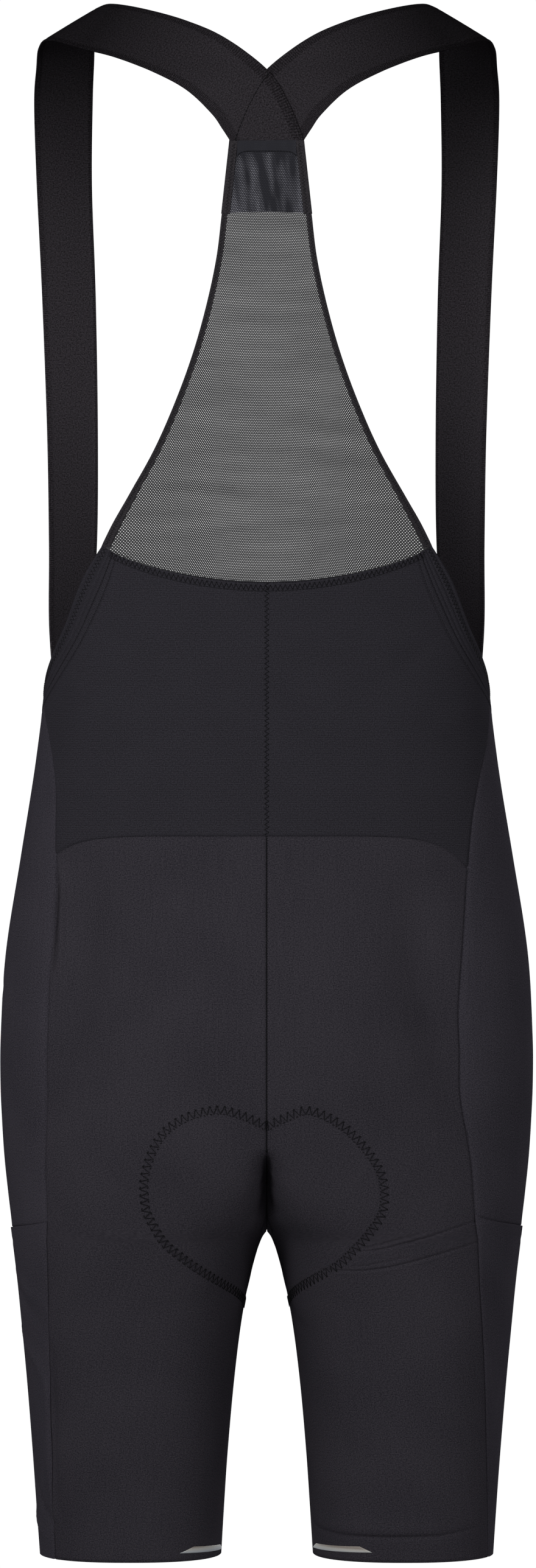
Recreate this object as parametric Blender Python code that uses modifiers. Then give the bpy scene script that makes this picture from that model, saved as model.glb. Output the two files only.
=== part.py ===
"""Cargo cycling bib shorts, filled out as worn, on a general figure.

Metres, +Z up. The wearer faces -Y and the wearer's left is +X. The origin lies midway between
the two shoulder straps, at the height of their undersides where they rest on the shoulders.

Every cloth piece is a flat grid laid on the shorts' form, or on a strap's run, and given its
thickness inwards. Each piece stops half a seam gap short of the line that it is sewn along.
"""
import bisect
from math import atan2, cos, degrees, radians, sin

import bmesh
import bpy
from mathutils import Vector

# ---------------------------------------------------------------- driving dimensions
SEAM_GAP = 0.0003          # between neighbouring pieces
SIDE_CLEAR = 0.00032       # each panel stops this short of a side seam, for its wall's tilt
LAYER_GAP = 0.0003         # between a piece and what lies on it
KNIT = 0.0010              # wall of every knitted panel
WEBBING = 0.0014           # elastic strap
BAND = 0.0016              # turned and bound edges
PAD = 0.0070               # seat pad at its middle
PAD_RIM = 0.25             # the pad's rim, as a part of its middle's thickness
PAD_LIFT = 0.0034          # how far the pad's middle line stands off the crotch seam
PAD_STANDOFF = 0.0020      # between the pad and the panels' flat faces, which curve most there
SQUARENESS = 2.3           # 2 is an ellipse, and more is squarer
NAME = {1: "left", -1: "right"}

CROTCH = -0.866            # height where the legs part
HEM = -1.0925              # lower edge of the legs
YOKE_DROP_LEFT = 0.013     # how far the yoke seam falls at its side ends
YOKE_DROP_RIGHT = 0.022
YOKE = -0.5862             # height of the yoke seam at the centre back
MESH_TOP = -0.1548         # height of the seam between the tab and the mesh
TAB_TOP = -0.1048          # height of the seam between the straps and the tab
MESH_FOOT = -0.4094        # height of the mesh's lower seam at the centre back
GRIPPER_HEIGHT = 0.0185    # elastic band inside the hem
POCKET_TOP = -0.857        # height of the cargo pocket's mouth, which is a row of the legs
POCKET_BULGE = 0.0030      # how far the mouth stands off the side panel
POCKET_MOUTH_REACH = 0.060 # how far down the pocket the mouth's bulge fades out
POCKET_INSET = 0.0008      # from the side seams to the pocket's edges
TAB_HALF_TOP = 0.0262      # half the tab's width at the straps
TAB_HALF_FOOT = 0.0316     # half the tab's width at the mesh
BAND_PROUD = 0.0002        # how far turned edges stand off their panels
SIDE_COLUMNS = 5           # faces across a side panel and the pocket on it
FACET_DEPTH = 0.0018       # how far the panels' flat faces cut inside the round form
BAND_BACK_ROWS = 7         # rows along the edge band, behind and in front of the side seam
BAND_FRONT_ROWS = 9
REFLECTIVE_TOP = -1.0830
REFLECTIVE_FOOT = -1.0878
REFLECTIVE_ANGLES = {      # inner end and outer end, each at the top and at the foot
    1: (-82.0, -88.0, -42.0, -32.0),
    -1: (-68.0, -78.0, -28.0, -20.0),
}

# The form at each height: half its whole width, how far out the middle of one leg's ring lies
# (0 in the body, where both sides share one ring), and how far it reaches back and forward.
FORM = (
    # height, outer, middle, back, front
    (-0.030, 0.1560, 0.0000, 0.0560, 0.0600),
    (-0.060, 0.1610, 0.0000, 0.0740, 0.0760),
    (-0.105, 0.1660, 0.0000, 0.0860, 0.0900),
    (-0.155, 0.1690, 0.0000, 0.0940, 0.0980),
    (-0.210, 0.1690, 0.0000, 0.0975, 0.1020),
    (-0.270, 0.1670, 0.0000, 0.0960, 0.1020),
    (-0.340, 0.1610, 0.0000, 0.0895, 0.1000),
    (-0.410, 0.1570, 0.0000, 0.0845, 0.0990),
    (-0.470, 0.1562, 0.0000, 0.0840, 0.1000),
    (-0.530, 0.1625, 0.0000, 0.0890, 0.1030),
    (-0.600, 0.1735, 0.0000, 0.0985, 0.1050),
    (-0.670, 0.1842, 0.0000, 0.1105, 0.1060),
    (-0.730, 0.1879, 0.0000, 0.1175, 0.1062),
    (-0.7600, 0.1880, 0.0000, 0.1180, 0.1055),
    (-0.7865, 0.1868, 0.0207, 0.1170, 0.1045),
    (-0.8130, 0.1850, 0.0480, 0.1145, 0.1028),
    (-0.8395, 0.1822, 0.0716, 0.1108, 0.1005),
    (-0.8554, 0.1803, 0.0829, 0.1080, 0.0985),
    (-0.8660, 0.1792, 0.0896, 0.1060, 0.0972),
    (-0.8760, 0.1782, 0.0918, 0.1040, 0.0960),
    (-0.8950, 0.1762, 0.0936, 0.1000, 0.0938),
    (-0.9250, 0.1733, 0.0953, 0.0940, 0.0900),
    (-0.9700, 0.1690, 0.0961, 0.0858, 0.0842),
    (-1.0200, 0.1649, 0.0963, 0.0780, 0.0780),
    (-1.0600, 0.1620, 0.0962, 0.0725, 0.0732),
    (-1.1000, 0.1592, 0.0960, 0.0670, 0.0685),
)

# The seams between back and side panels, on the wearer's left and right, and between side and
# front panels, as angles round the ring from the centre back.
SIDE_SEAMS = (
    # height, back seam on the left, back seam on the right, front seam
    (-0.4935, 80.0, 80.0, 112.0),
    (-0.515, 69.0, 72.0, 118.0),
    (-0.545, 60.5, 61.0, 124.0),
    (-0.580, 56.5, 53.5, 127.0),
    (-0.640, 52.0, 47.0, 129.0),
    (-0.700, 51.5, 43.5, 130.0),
    (-0.760, 51.0, 43.5, 130.0),
    (-0.810, 48.0, 41.0, 130.0),
    (-0.860, 43.0, 37.5, 130.0),
    (-0.900, 43.0, 39.5, 130.0),
    (-0.960, 45.5, 46.5, 130.0),
    (-1.030, 48.5, 55.0, 129.0),
    (-1.100, 52.0, 66.0, 128.0),
)

# The edge band, from the mesh's corner at the back, round the armhole and along the front top:
# its free edge, and the seam that joins it to the panels.
EDGE_BAND = (
    # edge angle, edge height, seam angle, seam height
    (44.0, -0.3840, 40.5, -0.3857),
    (52.0, -0.4075, 43.8, -0.4180),
    (61.0, -0.4378, 52.1, -0.4487),
    (70.5, -0.4568, 61.5, -0.4706),
    (80.5, -0.4705, 72.4, -0.4868),
    (92.0, -0.4812, 88.0, -0.4990),
    (110.0, -0.4920, 108.8, -0.5075),
    (131.0, -0.5005, 130.3, -0.5155),
    (155.0, -0.5080, 154.8, -0.5225),
    (180.0, -0.5120, 180.0, -0.5265),
)

# The upper back: half the width across the outer edges of the mesh's bindings, and how wide a
# binding shows.
UPPER_BACK = (
    # height, half width, binding
    (-0.1548, 0.0312, 0.0040),
    (-0.1848, 0.0348, 0.0040),
    (-0.2177, 0.0417, 0.0041),
    (-0.2515, 0.0512, 0.0042),
    (-0.2850, 0.0635, 0.0044),
    (-0.3185, 0.0786, 0.0048),
    (-0.3520, 0.0978, 0.0057),
    (-0.3685, 0.1075, 0.0065),
    (-0.3840, 0.1162, 0.0070),
)

# One shoulder strap on the wearer's left, a row across it at each station, from its end at the
# front waist, over the shoulder, to its end at the tab. The edge next to the neck is the inner.
STRAP = (
    # inner x, inner y, inner z, outer x, outer y, outer z
    (0.1315, -0.0635, -0.4978, 0.1545, -0.0280, -0.4882),
    (0.1270, -0.0760, -0.4400, 0.1553, -0.0460, -0.4400),
    (0.1226, -0.0880, -0.3800, 0.1560, -0.0630, -0.3800),
    (0.1219, -0.0980, -0.3000, 0.1577, -0.0780, -0.3000),
    (0.1233, -0.1000, -0.2000, 0.1615, -0.0840, -0.2000),
    (0.1257, -0.0890, -0.1200, 0.1651, -0.0760, -0.1200),
    (0.1245, -0.0660, -0.0600, 0.1663, -0.0580, -0.0640),
    (0.1228, -0.0440, -0.0270, 0.1642, -0.0400, -0.0400),
    (0.1236, -0.0200, -0.0050, 0.1618, -0.0180, -0.0275),
    (0.1165, 0.0060, -0.0007, 0.1540, 0.0080, -0.0250),
    (0.1060, 0.0200, -0.0010, 0.1300, 0.0320, -0.0336),
    (0.0830, 0.0370, -0.0070, 0.1065, 0.0490, -0.0415),
    (0.0560, 0.0515, -0.0164, 0.0805, 0.0625, -0.0530),
    (0.0290, 0.0620, -0.0296, 0.0560, 0.0735, -0.0673),
    (0.0000, 0.0715, -0.0522, 0.0385, 0.0815, -0.0843),
    (-0.0150, 0.0790, -0.0760, 0.0310, 0.0850, -0.0951),
    (-0.0272, 0.0860, -0.1045, 0.0256, 0.0868, -0.1045),
)
LEFT_OVER_RIGHT = 0.0026   # how far the left strap stands over the right one where they cross
CROSSING_X = 0.040         # the left strap is fully over the right one inside this distance
STRAP_SETTLES = -0.035     # the height under which the straps lie on the form

# One side of the seat pad, from its back end through the crotch to its front end: the height of
# its middle line, and where its outline lies. Angles under -90 are on the front of the leg.
PAD_OUTLINE = (
    # middle height, outline angle, outline height
    (-0.7860, 12.0, -0.7863),
    (-0.8080, 16.0, -0.8162),
    (-0.8280, 8.0, -0.8455),
    (-0.8440, -8.0, -0.8753),
    (-0.8570, -32.0, -0.9050),
    (CROTCH, -90.0, -0.9360),
    (-0.8570, -148.0, -0.9050),
    (-0.8440, -168.0, -0.8800),
    (-0.8280, -180.0, -0.8480),
    (-0.8080, -187.0, -0.8180),
    (-0.7860, -185.0, -0.7880),
)

# Heights of the cross rows in the legs, close together where they part.
LEG_ROWS = (-0.620, -0.655, -0.690, -0.725, -0.756, -0.782, -0.804, -0.822, -0.837, -0.849,
            -0.857, -0.8615, -0.8645, CROTCH, -0.871, -0.880, -0.895, -0.920, -0.950, -0.985,
            -1.020, -1.055, HEM)
FRONT_TOP = -0.512
FRONT_ROWS = (FRONT_TOP, -0.530, -0.550, -0.585) + LEG_ROWS
BAND_FALL_ROWS = 3         # rows under the band that take up its seam's fall

BLACK_KNIT = (0.028, 0.027, 0.032)
BLACK_RIB = (0.022, 0.022, 0.027)
BLACK_WEBBING = (0.020, 0.019, 0.022)
GREY_MESH = (0.050, 0.051, 0.054)
GREY_FOAM = (0.060, 0.060, 0.068)
SILVER_FILM = (0.300, 0.305, 0.300)


# ---------------------------------------------------------------- reading the tables
def smooth(table, where, column):
    """A table's column at a height, on a smooth curve through the rows."""
    keys = [-row[0] for row in table]
    last = len(table) - 1
    after = min(max(bisect.bisect_right(keys, -where), 1), last)
    before = after - 1
    span = keys[after] - keys[before]
    part = min(max((-where - keys[before]) / span, 0.0), 1.0)

    def slope(row):
        low, high = max(row - 1, 0), min(row + 1, last)
        return (table[high][column] - table[low][column]) / (keys[high] - keys[low])

    start, end = table[before][column], table[after][column]
    return (start * (1 + 2 * part) * (1 - part) ** 2 + end * part ** 2 * (3 - 2 * part)
            + span * slope(before) * part * (1 - part) ** 2
            - span * slope(after) * part ** 2 * (1 - part))


def along(table, part, columns):
    """Some columns of a table at a part of the way through its rows, on a smooth curve."""
    place = min(max(part, 0.0), 1.0) * (len(table) - 1)
    row = min(int(place), len(table) - 2)
    t = place - row

    def spline(column):
        a, b, c, d = (table[min(max(row + step, 0), len(table) - 1)][column]
                      for step in (-1, 0, 1, 2))
        return 0.5 * (2 * b + (c - a) * t + (2 * a - 5 * b + 4 * c - d) * t ** 2
                      + (3 * b - a - 3 * c + d) * t ** 3)
    return [spline(column) for column in columns]


# ---------------------------------------------------------------- the form
def ring(height):
    """The half width of one ring, its middle, and its reach to the back and to the front."""
    outer, middle = smooth(FORM, height, 1), smooth(FORM, height, 2)
    return outer - middle, middle, smooth(FORM, height, 3), smooth(FORM, height, 4)


def angle_of(height, x):
    """The angle on the back half of the ring where it crosses x."""
    half, middle, _, _ = ring(height)
    share = min(max((x - middle) / half, -1.0), 1.0)
    rest = (1 - abs(share) ** SQUARENESS) ** (1 / SQUARENESS)
    return degrees(atan2(share, rest))


def middle_angle(height):
    """The angle where the ring meets the middle plane, or its innermost point on a leg."""
    return angle_of(height, 0.0) if height > CROTCH else -90.0


def skin(height, angle):
    """A point of the form on the wearer's left."""
    half, middle, back, front = ring(height)
    s, c = sin(radians(angle)), cos(radians(angle))
    size = (abs(s) ** SQUARENESS + abs(c) ** SQUARENESS) ** (1 / SQUARENESS)
    return Vector((middle + half * s / size, (back if c > 0 else front) * c / size, height))


def on_form(height, angle, proud=0.0):
    """A point of the form moved out of the cloth by proud."""
    point = skin(height, angle)
    if proud == 0.0:
        return point
    step_round = skin(height, angle + 0.5) - skin(height, angle - 0.5)
    step_up = skin(height + 0.001, angle) - skin(height - 0.001, angle)
    return point + proud * step_up.cross(step_round).normalized()


def turn_for(height, angle, distance):
    """The change of angle that moves a point by a distance round the ring."""
    return distance / (skin(height, angle + 0.5) - skin(height, angle - 0.5)).length


def side_seam(height, side, front=False):
    column = 3 if front else (1 if side > 0 else 2)
    return smooth(SIDE_SEAMS, height, column)


def band_part(angle):
    """How far along the edge band its lower seam reaches an angle round the ring."""
    low, high = 0.0, 1.0
    for _ in range(30):
        middle = (low + high) / 2
        if along(EDGE_BAND, middle, (2, 3))[0] < angle:
            low = middle
        else:
            high = middle
    return low


def band_seam_height(angle):
    """The height of the seam under the edge band at an angle round the ring."""
    return along(EDGE_BAND, band_part(angle), (2, 3))[1]


def mesh_foot_height(share):
    """The mesh's curved lower seam, from the centre back (0) to its corner (1)."""
    return MESH_FOOT + (EDGE_BAND[0][3] - MESH_FOOT) * share ** 2


def yoke_height(share, side):
    """The yoke seam, level across the back and falling near the side seams."""
    drop = YOKE_DROP_LEFT if side > 0 else YOKE_DROP_RIGHT
    return YOKE - drop * share ** 6


def blend(start, end, part):
    return start + (end - start) * part


# ---------------------------------------------------------------- making a piece
def material(name, colour, roughness, metallic=0.0):
    made = bpy.data.materials.new(name)
    made.use_nodes = True
    shader = made.node_tree.nodes["Principled BSDF"]
    shader.inputs["Base Color"].default_value = (*colour, 1.0)
    shader.inputs["Roughness"].default_value = roughness
    shader.inputs["Metallic"].default_value = metallic
    return made


def cloth(name, across, down, place, wall, finish, side=1, closed=False, fullness=None):
    """A grid laid out by place(u, v), mirrored to the wearer's right where side is -1.

    u runs round the ring from the back to the front and v runs down, both from 0 to 1. A closed
    grid joins its two ends, and fullness(u, v) is the wall's part of its thickness there.
    """
    mesh = bpy.data.meshes.new(name)
    piece = bpy.data.objects.new(name, mesh)
    garment.objects.link(piece)
    grid = bmesh.new()
    bmesh.ops.create_grid(grid, x_segments=across, y_segments=down, size=0.5)
    weights = [fullness(v.co.x + 0.5, 0.5 - v.co.y) for v in grid.verts] if fullness else []
    for vertex in grid.verts:
        point = place(vertex.co.x + 0.5, 0.5 - vertex.co.y)
        vertex.co = (side * point.x, point.y, point.z)
    if side > 0:
        bmesh.ops.reverse_faces(grid, faces=grid.faces)
    if closed:
        bmesh.ops.remove_doubles(grid, verts=grid.verts, dist=0.0001)
    grid.to_mesh(mesh)
    grid.free()
    mesh.shade_smooth()
    mesh.materials.append(finish)
    thickness = piece.modifiers.new("wall", 'SOLIDIFY')
    thickness.thickness = wall
    thickness.offset = -1
    if fullness:
        group = piece.vertex_groups.new(name="fullness")
        for index, weight in enumerate(weights):
            group.add([index], weight, 'REPLACE')
        thickness.vertex_group = group.name
        thickness.thickness_vertex_group = 0.0
    return piece


def keep_apart(point, front=False):
    """Holds a panel half a seam gap clear of the middle plane and of the inner leg seam."""
    clear = SEAM_GAP / 2
    y = min(point.y, -clear) if front else max(point.y, clear)
    return Vector((max(point.x, clear), y, point.z))


def row_height(rows, part):
    """The height of a row, where part counts evenly through the rows."""
    place = part * (len(rows) - 1)
    row = min(int(place), len(rows) - 2)
    return blend(rows[row], rows[row + 1], place - row)


# ---------------------------------------------------------------- upper back
def make_strap(side, finish):
    """Elastic webbing from the front waist, over the shoulder, to the tab.

    Below the shoulder blades both straps lie on the form, the left one over the right.
    """
    def place(u, v):
        row = along(STRAP, v, range(6))
        inner, outer = Vector(row[:3]), Vector(row[3:])
        point = inner.lerp(outer, u)
        if point.y > 0:
            settled = min(max((STRAP_SETTLES - point.z) / 0.015, 0.0), 1.0)
            point.y = blend(point.y, on_form(point.z, angle_of(point.z, point.x)).y, settled)
            if side > 0:
                point.y += LEFT_OVER_RIGHT * min(max(2.0 - inner.x / CROSSING_X, 0.0), 1.0)
        return point
    cloth("strap_" + NAME[side], 3, 32, place, WEBBING, finish, side)


def make_tab(finish):
    """Two layers of mesh, as one wall, between the straps' ends and the mesh panel."""
    def place(u, v):
        height = blend(TAB_TOP - SEAM_GAP, MESH_TOP + SEAM_GAP, v)
        half = blend(TAB_HALF_TOP, TAB_HALF_FOOT, v)
        return on_form(height, angle_of(height, half * (2 * u - 1)))
    cloth("back_tab", 4, 3, place, WEBBING, finish)


def make_mesh(finish):
    """One layer of open mesh, hollow along its lower seam."""
    def place(u, v):
        share = 2 * u - 1
        height = blend(MESH_TOP, mesh_foot_height(abs(share)) + SEAM_GAP / 2, v)
        edge_height = blend(MESH_TOP, EDGE_BAND[0][3], v)
        half = smooth(UPPER_BACK, edge_height, 1) - smooth(UPPER_BACK, edge_height, 2)
        edge = min(angle_of(edge_height, half - SEAM_GAP), EDGE_BAND[0][2])
        return on_form(height, share * edge)
    cloth("back_mesh", 10, 10, place, KNIT, finish)


def make_mesh_binding(side, finish):
    """Folded binding on the mesh's long edge, from the tab to the waist panel's corner."""
    def place(u, v):
        height = blend(MESH_TOP, EDGE_BAND[0][1] + SEAM_GAP, v)
        outer = smooth(UPPER_BACK, height, 1)
        inner = outer - smooth(UPPER_BACK, height, 2)
        return on_form(height, angle_of(height, blend(inner, outer, u)), BAND_PROUD)
    cloth("mesh_binding_" + NAME[side], 1, 10, place, BAND, finish, side)


def make_edge_band(side, finish):
    """Turned and stitched band round the armhole and along the front top edge."""
    corner = band_part(SIDE_SEAMS[0][1])
    parts = [corner * row / BAND_BACK_ROWS for row in range(BAND_BACK_ROWS)]
    parts += [blend(corner, 1.0, row / BAND_FRONT_ROWS) for row in range(BAND_FRONT_ROWS + 1)]

    def place(u, v):
        row = along(EDGE_BAND, row_height(parts, v), range(4))
        angle, height = blend(row[2], row[0], u), blend(row[3], row[1], u)
        point = on_form(height, angle, BAND_PROUD)
        return Vector((max(point.x, SEAM_GAP / 2), point.y, point.z))
    cloth("waist_band_" + NAME[side], 2, len(parts) - 1, place, BAND, finish, side)


# ---------------------------------------------------------------- body and legs
def hang_from_band(v, angle_at):
    """Height and angle in a row of a panel whose top follows the edge band's seam.

    angle_at(height) is the angle at a height.
    """
    level = row_height(FRONT_ROWS, v)
    fade = max(1 - v * (len(FRONT_ROWS) - 1) / BAND_FALL_ROWS, 0.0)
    height = level
    for _ in range(4):
        fall = band_seam_height(angle_at(height)) - 1.5 * SEAM_GAP - FRONT_TOP
        height = level + fall * fade
    return height, angle_at(height)


def make_back_waist(side, finish):
    """Half of the ribbed lower back, from the mesh to the yoke seam.

    Its side edge follows the band, turns a corner and runs down the side seam, where its rows
    meet the side panel's.
    """
    corner_part = band_part(SIDE_SEAMS[0][1])
    corner_height = along(EDGE_BAND, corner_part, (3,))[0]
    yoke_end = yoke_height(1, side)
    below = [hang_from_band(row / (len(FRONT_ROWS) - 1), lambda height: side_seam(height, side))
             for row in range(len(FRONT_ROWS))]
    below = [height for height, _ in below if yoke_end + 0.01 < height < corner_height - 0.01]
    below = [corner_height] + below + [yoke_end]
    rows = BAND_BACK_ROWS + len(below) - 1
    corner = BAND_BACK_ROWS / rows

    def side_edge(v):
        if v <= corner:
            angle, height = along(EDGE_BAND, v / corner * corner_part, (2, 3))
            return angle - turn_for(height, angle, 1.6 * SEAM_GAP), height
        height = row_height(below, (v - corner) / (1 - corner))
        angle = side_seam(height, side)
        return angle - turn_for(height, angle, SIDE_CLEAR), height

    def place(u, v):
        edge_angle, edge_height = side_edge(v)
        middle = blend(MESH_FOOT, YOKE, v)
        top, foot = blend(middle, edge_height, u ** 2), blend(middle, edge_height, u ** 6)
        height = blend(top, foot, v) + SEAM_GAP / 2 * (2 * v - 1)
        return keep_apart(on_form(height, u * edge_angle))
    cloth("back_waist_" + NAME[side], 8, rows, place, KNIT, finish, side)


def make_back_leg(side, finish):
    """Back of one leg in one piece, from the yoke seam to the hem."""
    rows = (YOKE,) + LEG_ROWS

    def place(u, v):
        level = row_height(rows, v)
        fade = max(1 - v * len(LEG_ROWS) / 3, 0.0)
        height = level + (yoke_height(u, side) - YOKE - SEAM_GAP / 2) * fade
        edge_height = level + (yoke_height(1, side) - YOKE) * fade
        seam = side_seam(edge_height, side)
        seam -= turn_for(edge_height, seam, SIDE_CLEAR)
        return keep_apart(on_form(height, blend(middle_angle(height), seam, u)))
    cloth("back_leg_" + NAME[side], 8, len(LEG_ROWS), place, KNIT, finish, side)


def make_side_panel(side, finish):
    """The strip between the back and the front of one side, from the edge band to the hem."""
    def place(u, v):
        def angle_at(height):
            back, front = side_seam(height, side), side_seam(height, side, front=True)
            back += turn_for(height, back, SIDE_CLEAR)
            front -= turn_for(height, front, SIDE_CLEAR)
            return blend(back, front, u)
        return on_form(*hang_from_band(v, angle_at))
    cloth("side_panel_" + NAME[side], SIDE_COLUMNS, len(FRONT_ROWS) - 1, place, KNIT, finish,
          side)


def make_front(side, finish):
    """Front of one leg and half the belly, from the edge band to the hem."""
    def place(u, v):
        def angle_at(height):
            start = side_seam(height, side, front=True)
            start += turn_for(height, start, SIDE_CLEAR)
            return blend(start, 180.0 - middle_angle(height), u)
        return keep_apart(on_form(*hang_from_band(v, angle_at)), front=True)
    cloth("front_" + NAME[side], 7, len(FRONT_ROWS) - 1, place, KNIT, finish, side)


# ---------------------------------------------------------------- what lies on the panels
def make_pocket(side, finish):
    """Cargo pocket: a second layer on the side panel, its mouth standing a little off."""
    rows = [height for height in LEG_ROWS if height <= POCKET_TOP]

    def place(u, v):
        height = row_height(rows, v)
        back, front = side_seam(height, side), side_seam(height, side, front=True)
        back += turn_for(height, back, POCKET_INSET)
        front -= turn_for(height, front, POCKET_INSET)
        near_mouth = max(1 - (POCKET_TOP - height) / POCKET_MOUTH_REACH, 0.0)
        proud = KNIT + LAYER_GAP + POCKET_BULGE * near_mouth ** 2 * 4 * u * (1 - u)
        return on_form(height, blend(back, front, u), proud)
    cloth("pocket_" + NAME[side], SIDE_COLUMNS, len(rows) - 1, place, KNIT, finish, side)


def make_gripper(side, finish):
    """Elastic band all round the inside of the hem."""
    def place(u, v):
        height = blend(HEM + GRIPPER_HEIGHT, HEM + SEAM_GAP, v)
        return on_form(height, 360 * u - 90, -KNIT - LAYER_GAP - FACET_DEPTH)
    cloth("gripper_" + NAME[side], 20, 1, place, KNIT, finish, side, closed=True)


def make_reflective_tab(side, finish):
    """Thin film sealed on the inner back of the leg just over the hem, with slanted ends."""
    inner_top, inner_foot, outer_top, outer_foot = REFLECTIVE_ANGLES[side]

    def place(u, v):
        height = blend(REFLECTIVE_TOP, REFLECTIVE_FOOT, v)
        angle = blend(blend(inner_top, inner_foot, v), blend(outer_top, outer_foot, v), u)
        return on_form(height, angle, KNIT + 2 * LAYER_GAP)
    cloth("reflective_" + NAME[side], 8, 2, place, KNIT, finish, side)


def make_seat_pad(finish):
    """Foam pad inside the seat, one piece from the back through the crotch to the front."""
    def line(v, share):
        """Height and angle at a part of the way out from the middle line."""
        middle, outline_angle, outline_height = along(PAD_OUTLINE, v, (0, 1, 2))
        middle = max(middle, CROTCH)
        middle_turn = middle_angle(middle) if v <= 0.5 else -180.0 - middle_angle(middle)
        return blend(middle, outline_height, share), blend(middle_turn, outline_angle, share)

    def place(u, v):
        share = 2 * u - 1
        height, angle = line(v, abs(share))
        if abs(share) > 0.01:
            point = on_form(height, angle, -KNIT - FACET_DEPTH - PAD_STANDOFF)
            return Vector((point.x if share > 0 else -point.x, point.y, point.z))
        step = 0.02
        before, after = (skin(*line(min(max(near, 0.0), 1.0), 0.0)) for near in (v - step, v + step))
        run = (after - before).normalized()
        parting = abs(sin(radians(middle_angle(height))))
        lift = KNIT + FACET_DEPTH + PAD_STANDOFF + PAD_LIFT * parting
        point = skin(height, angle) + lift * Vector((0, run.z, -run.y))
        return Vector((0, point.y, point.z))

    def fullness(u, v):
        inside = min(u, 1 - u, v, 1 - v)
        return PAD_RIM + (1 - PAD_RIM) * min(inside * 4, 1.0)
    cloth("seat_pad", 10, 12, place, PAD, finish, fullness=fullness)


# ---------------------------------------------------------------- the garment
for old in list(bpy.data.objects):
    bpy.data.objects.remove(old)
garment = bpy.data.collections.new("cargo_bib_shorts")
bpy.context.scene.collection.children.link(garment)

knit = material("black_knit", BLACK_KNIT, 0.75)
rib = material("black_rib_knit", BLACK_RIB, 0.8)
webbing = material("black_webbing", BLACK_WEBBING, 0.85)
open_mesh = material("open_mesh", GREY_MESH, 0.7)
foam = material("pad_foam", GREY_FOAM, 0.9)
film = material("reflective_film", SILVER_FILM, 0.4, 0.3)

make_tab(open_mesh)
make_mesh(open_mesh)
make_seat_pad(foam)
for one_side in (1, -1):
    make_strap(one_side, webbing)
    make_mesh_binding(one_side, webbing)
    make_edge_band(one_side, rib)
    make_back_waist(one_side, rib)
    make_back_leg(one_side, knit)
    make_side_panel(one_side, knit)
    make_front(one_side, knit)
    make_pocket(one_side, knit)
    make_gripper(one_side, webbing)
    make_reflective_tab(one_side, film)
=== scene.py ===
"""Cargo cycling bib shorts, filled out as worn.

Metres, +Z up. The wearer faces -Y and the wearer's left is +X.
"""
import bisect
from functools import lru_cache
from math import atan2, ceil, cos, degrees, exp, pi, radians, sin

import bpy
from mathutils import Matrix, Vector, noise


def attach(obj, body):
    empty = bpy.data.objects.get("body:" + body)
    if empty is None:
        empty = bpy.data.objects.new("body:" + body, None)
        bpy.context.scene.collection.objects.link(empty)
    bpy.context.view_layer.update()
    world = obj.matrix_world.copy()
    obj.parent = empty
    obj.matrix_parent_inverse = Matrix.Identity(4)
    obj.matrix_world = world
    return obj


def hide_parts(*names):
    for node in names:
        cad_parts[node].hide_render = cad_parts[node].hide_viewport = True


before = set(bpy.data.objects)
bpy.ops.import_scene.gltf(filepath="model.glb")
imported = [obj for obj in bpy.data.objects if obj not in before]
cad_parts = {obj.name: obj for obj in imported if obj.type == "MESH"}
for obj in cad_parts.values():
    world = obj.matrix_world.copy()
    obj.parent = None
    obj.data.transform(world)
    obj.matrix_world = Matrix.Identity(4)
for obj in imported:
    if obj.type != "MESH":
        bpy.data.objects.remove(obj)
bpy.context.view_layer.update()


# ---------------------------------------------------------------- backs of the legs
# One piece of smooth warp knit covers the back of each leg from the yoke seam to the hem. The two
# are sewn together up the middle of the seat, and their stretch pulls them smooth over the body.
# All panels lie on one form: rings round the body that part into one ring for each leg.
SQUARENESS = 2.3           # 2 is an ellipse, and more is squarer
CROTCH = -0.866            # height where the legs part
HEM = -1.0925              # lower edge of the legs
YOKE = -0.5862             # height of the yoke seam at the centre back
YOKE_DROP = {1: 0.013, -1: 0.022}   # how far it falls at its left and right ends
YOKE_FALL = 0.104          # how far down the leg its curve dies out
KNIT = 0.0010              # wall of the knitted panels
SEAM_GAP = 0.00005         # left between two sewn edges
NAME = {1: "left", -1: "right"}

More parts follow.
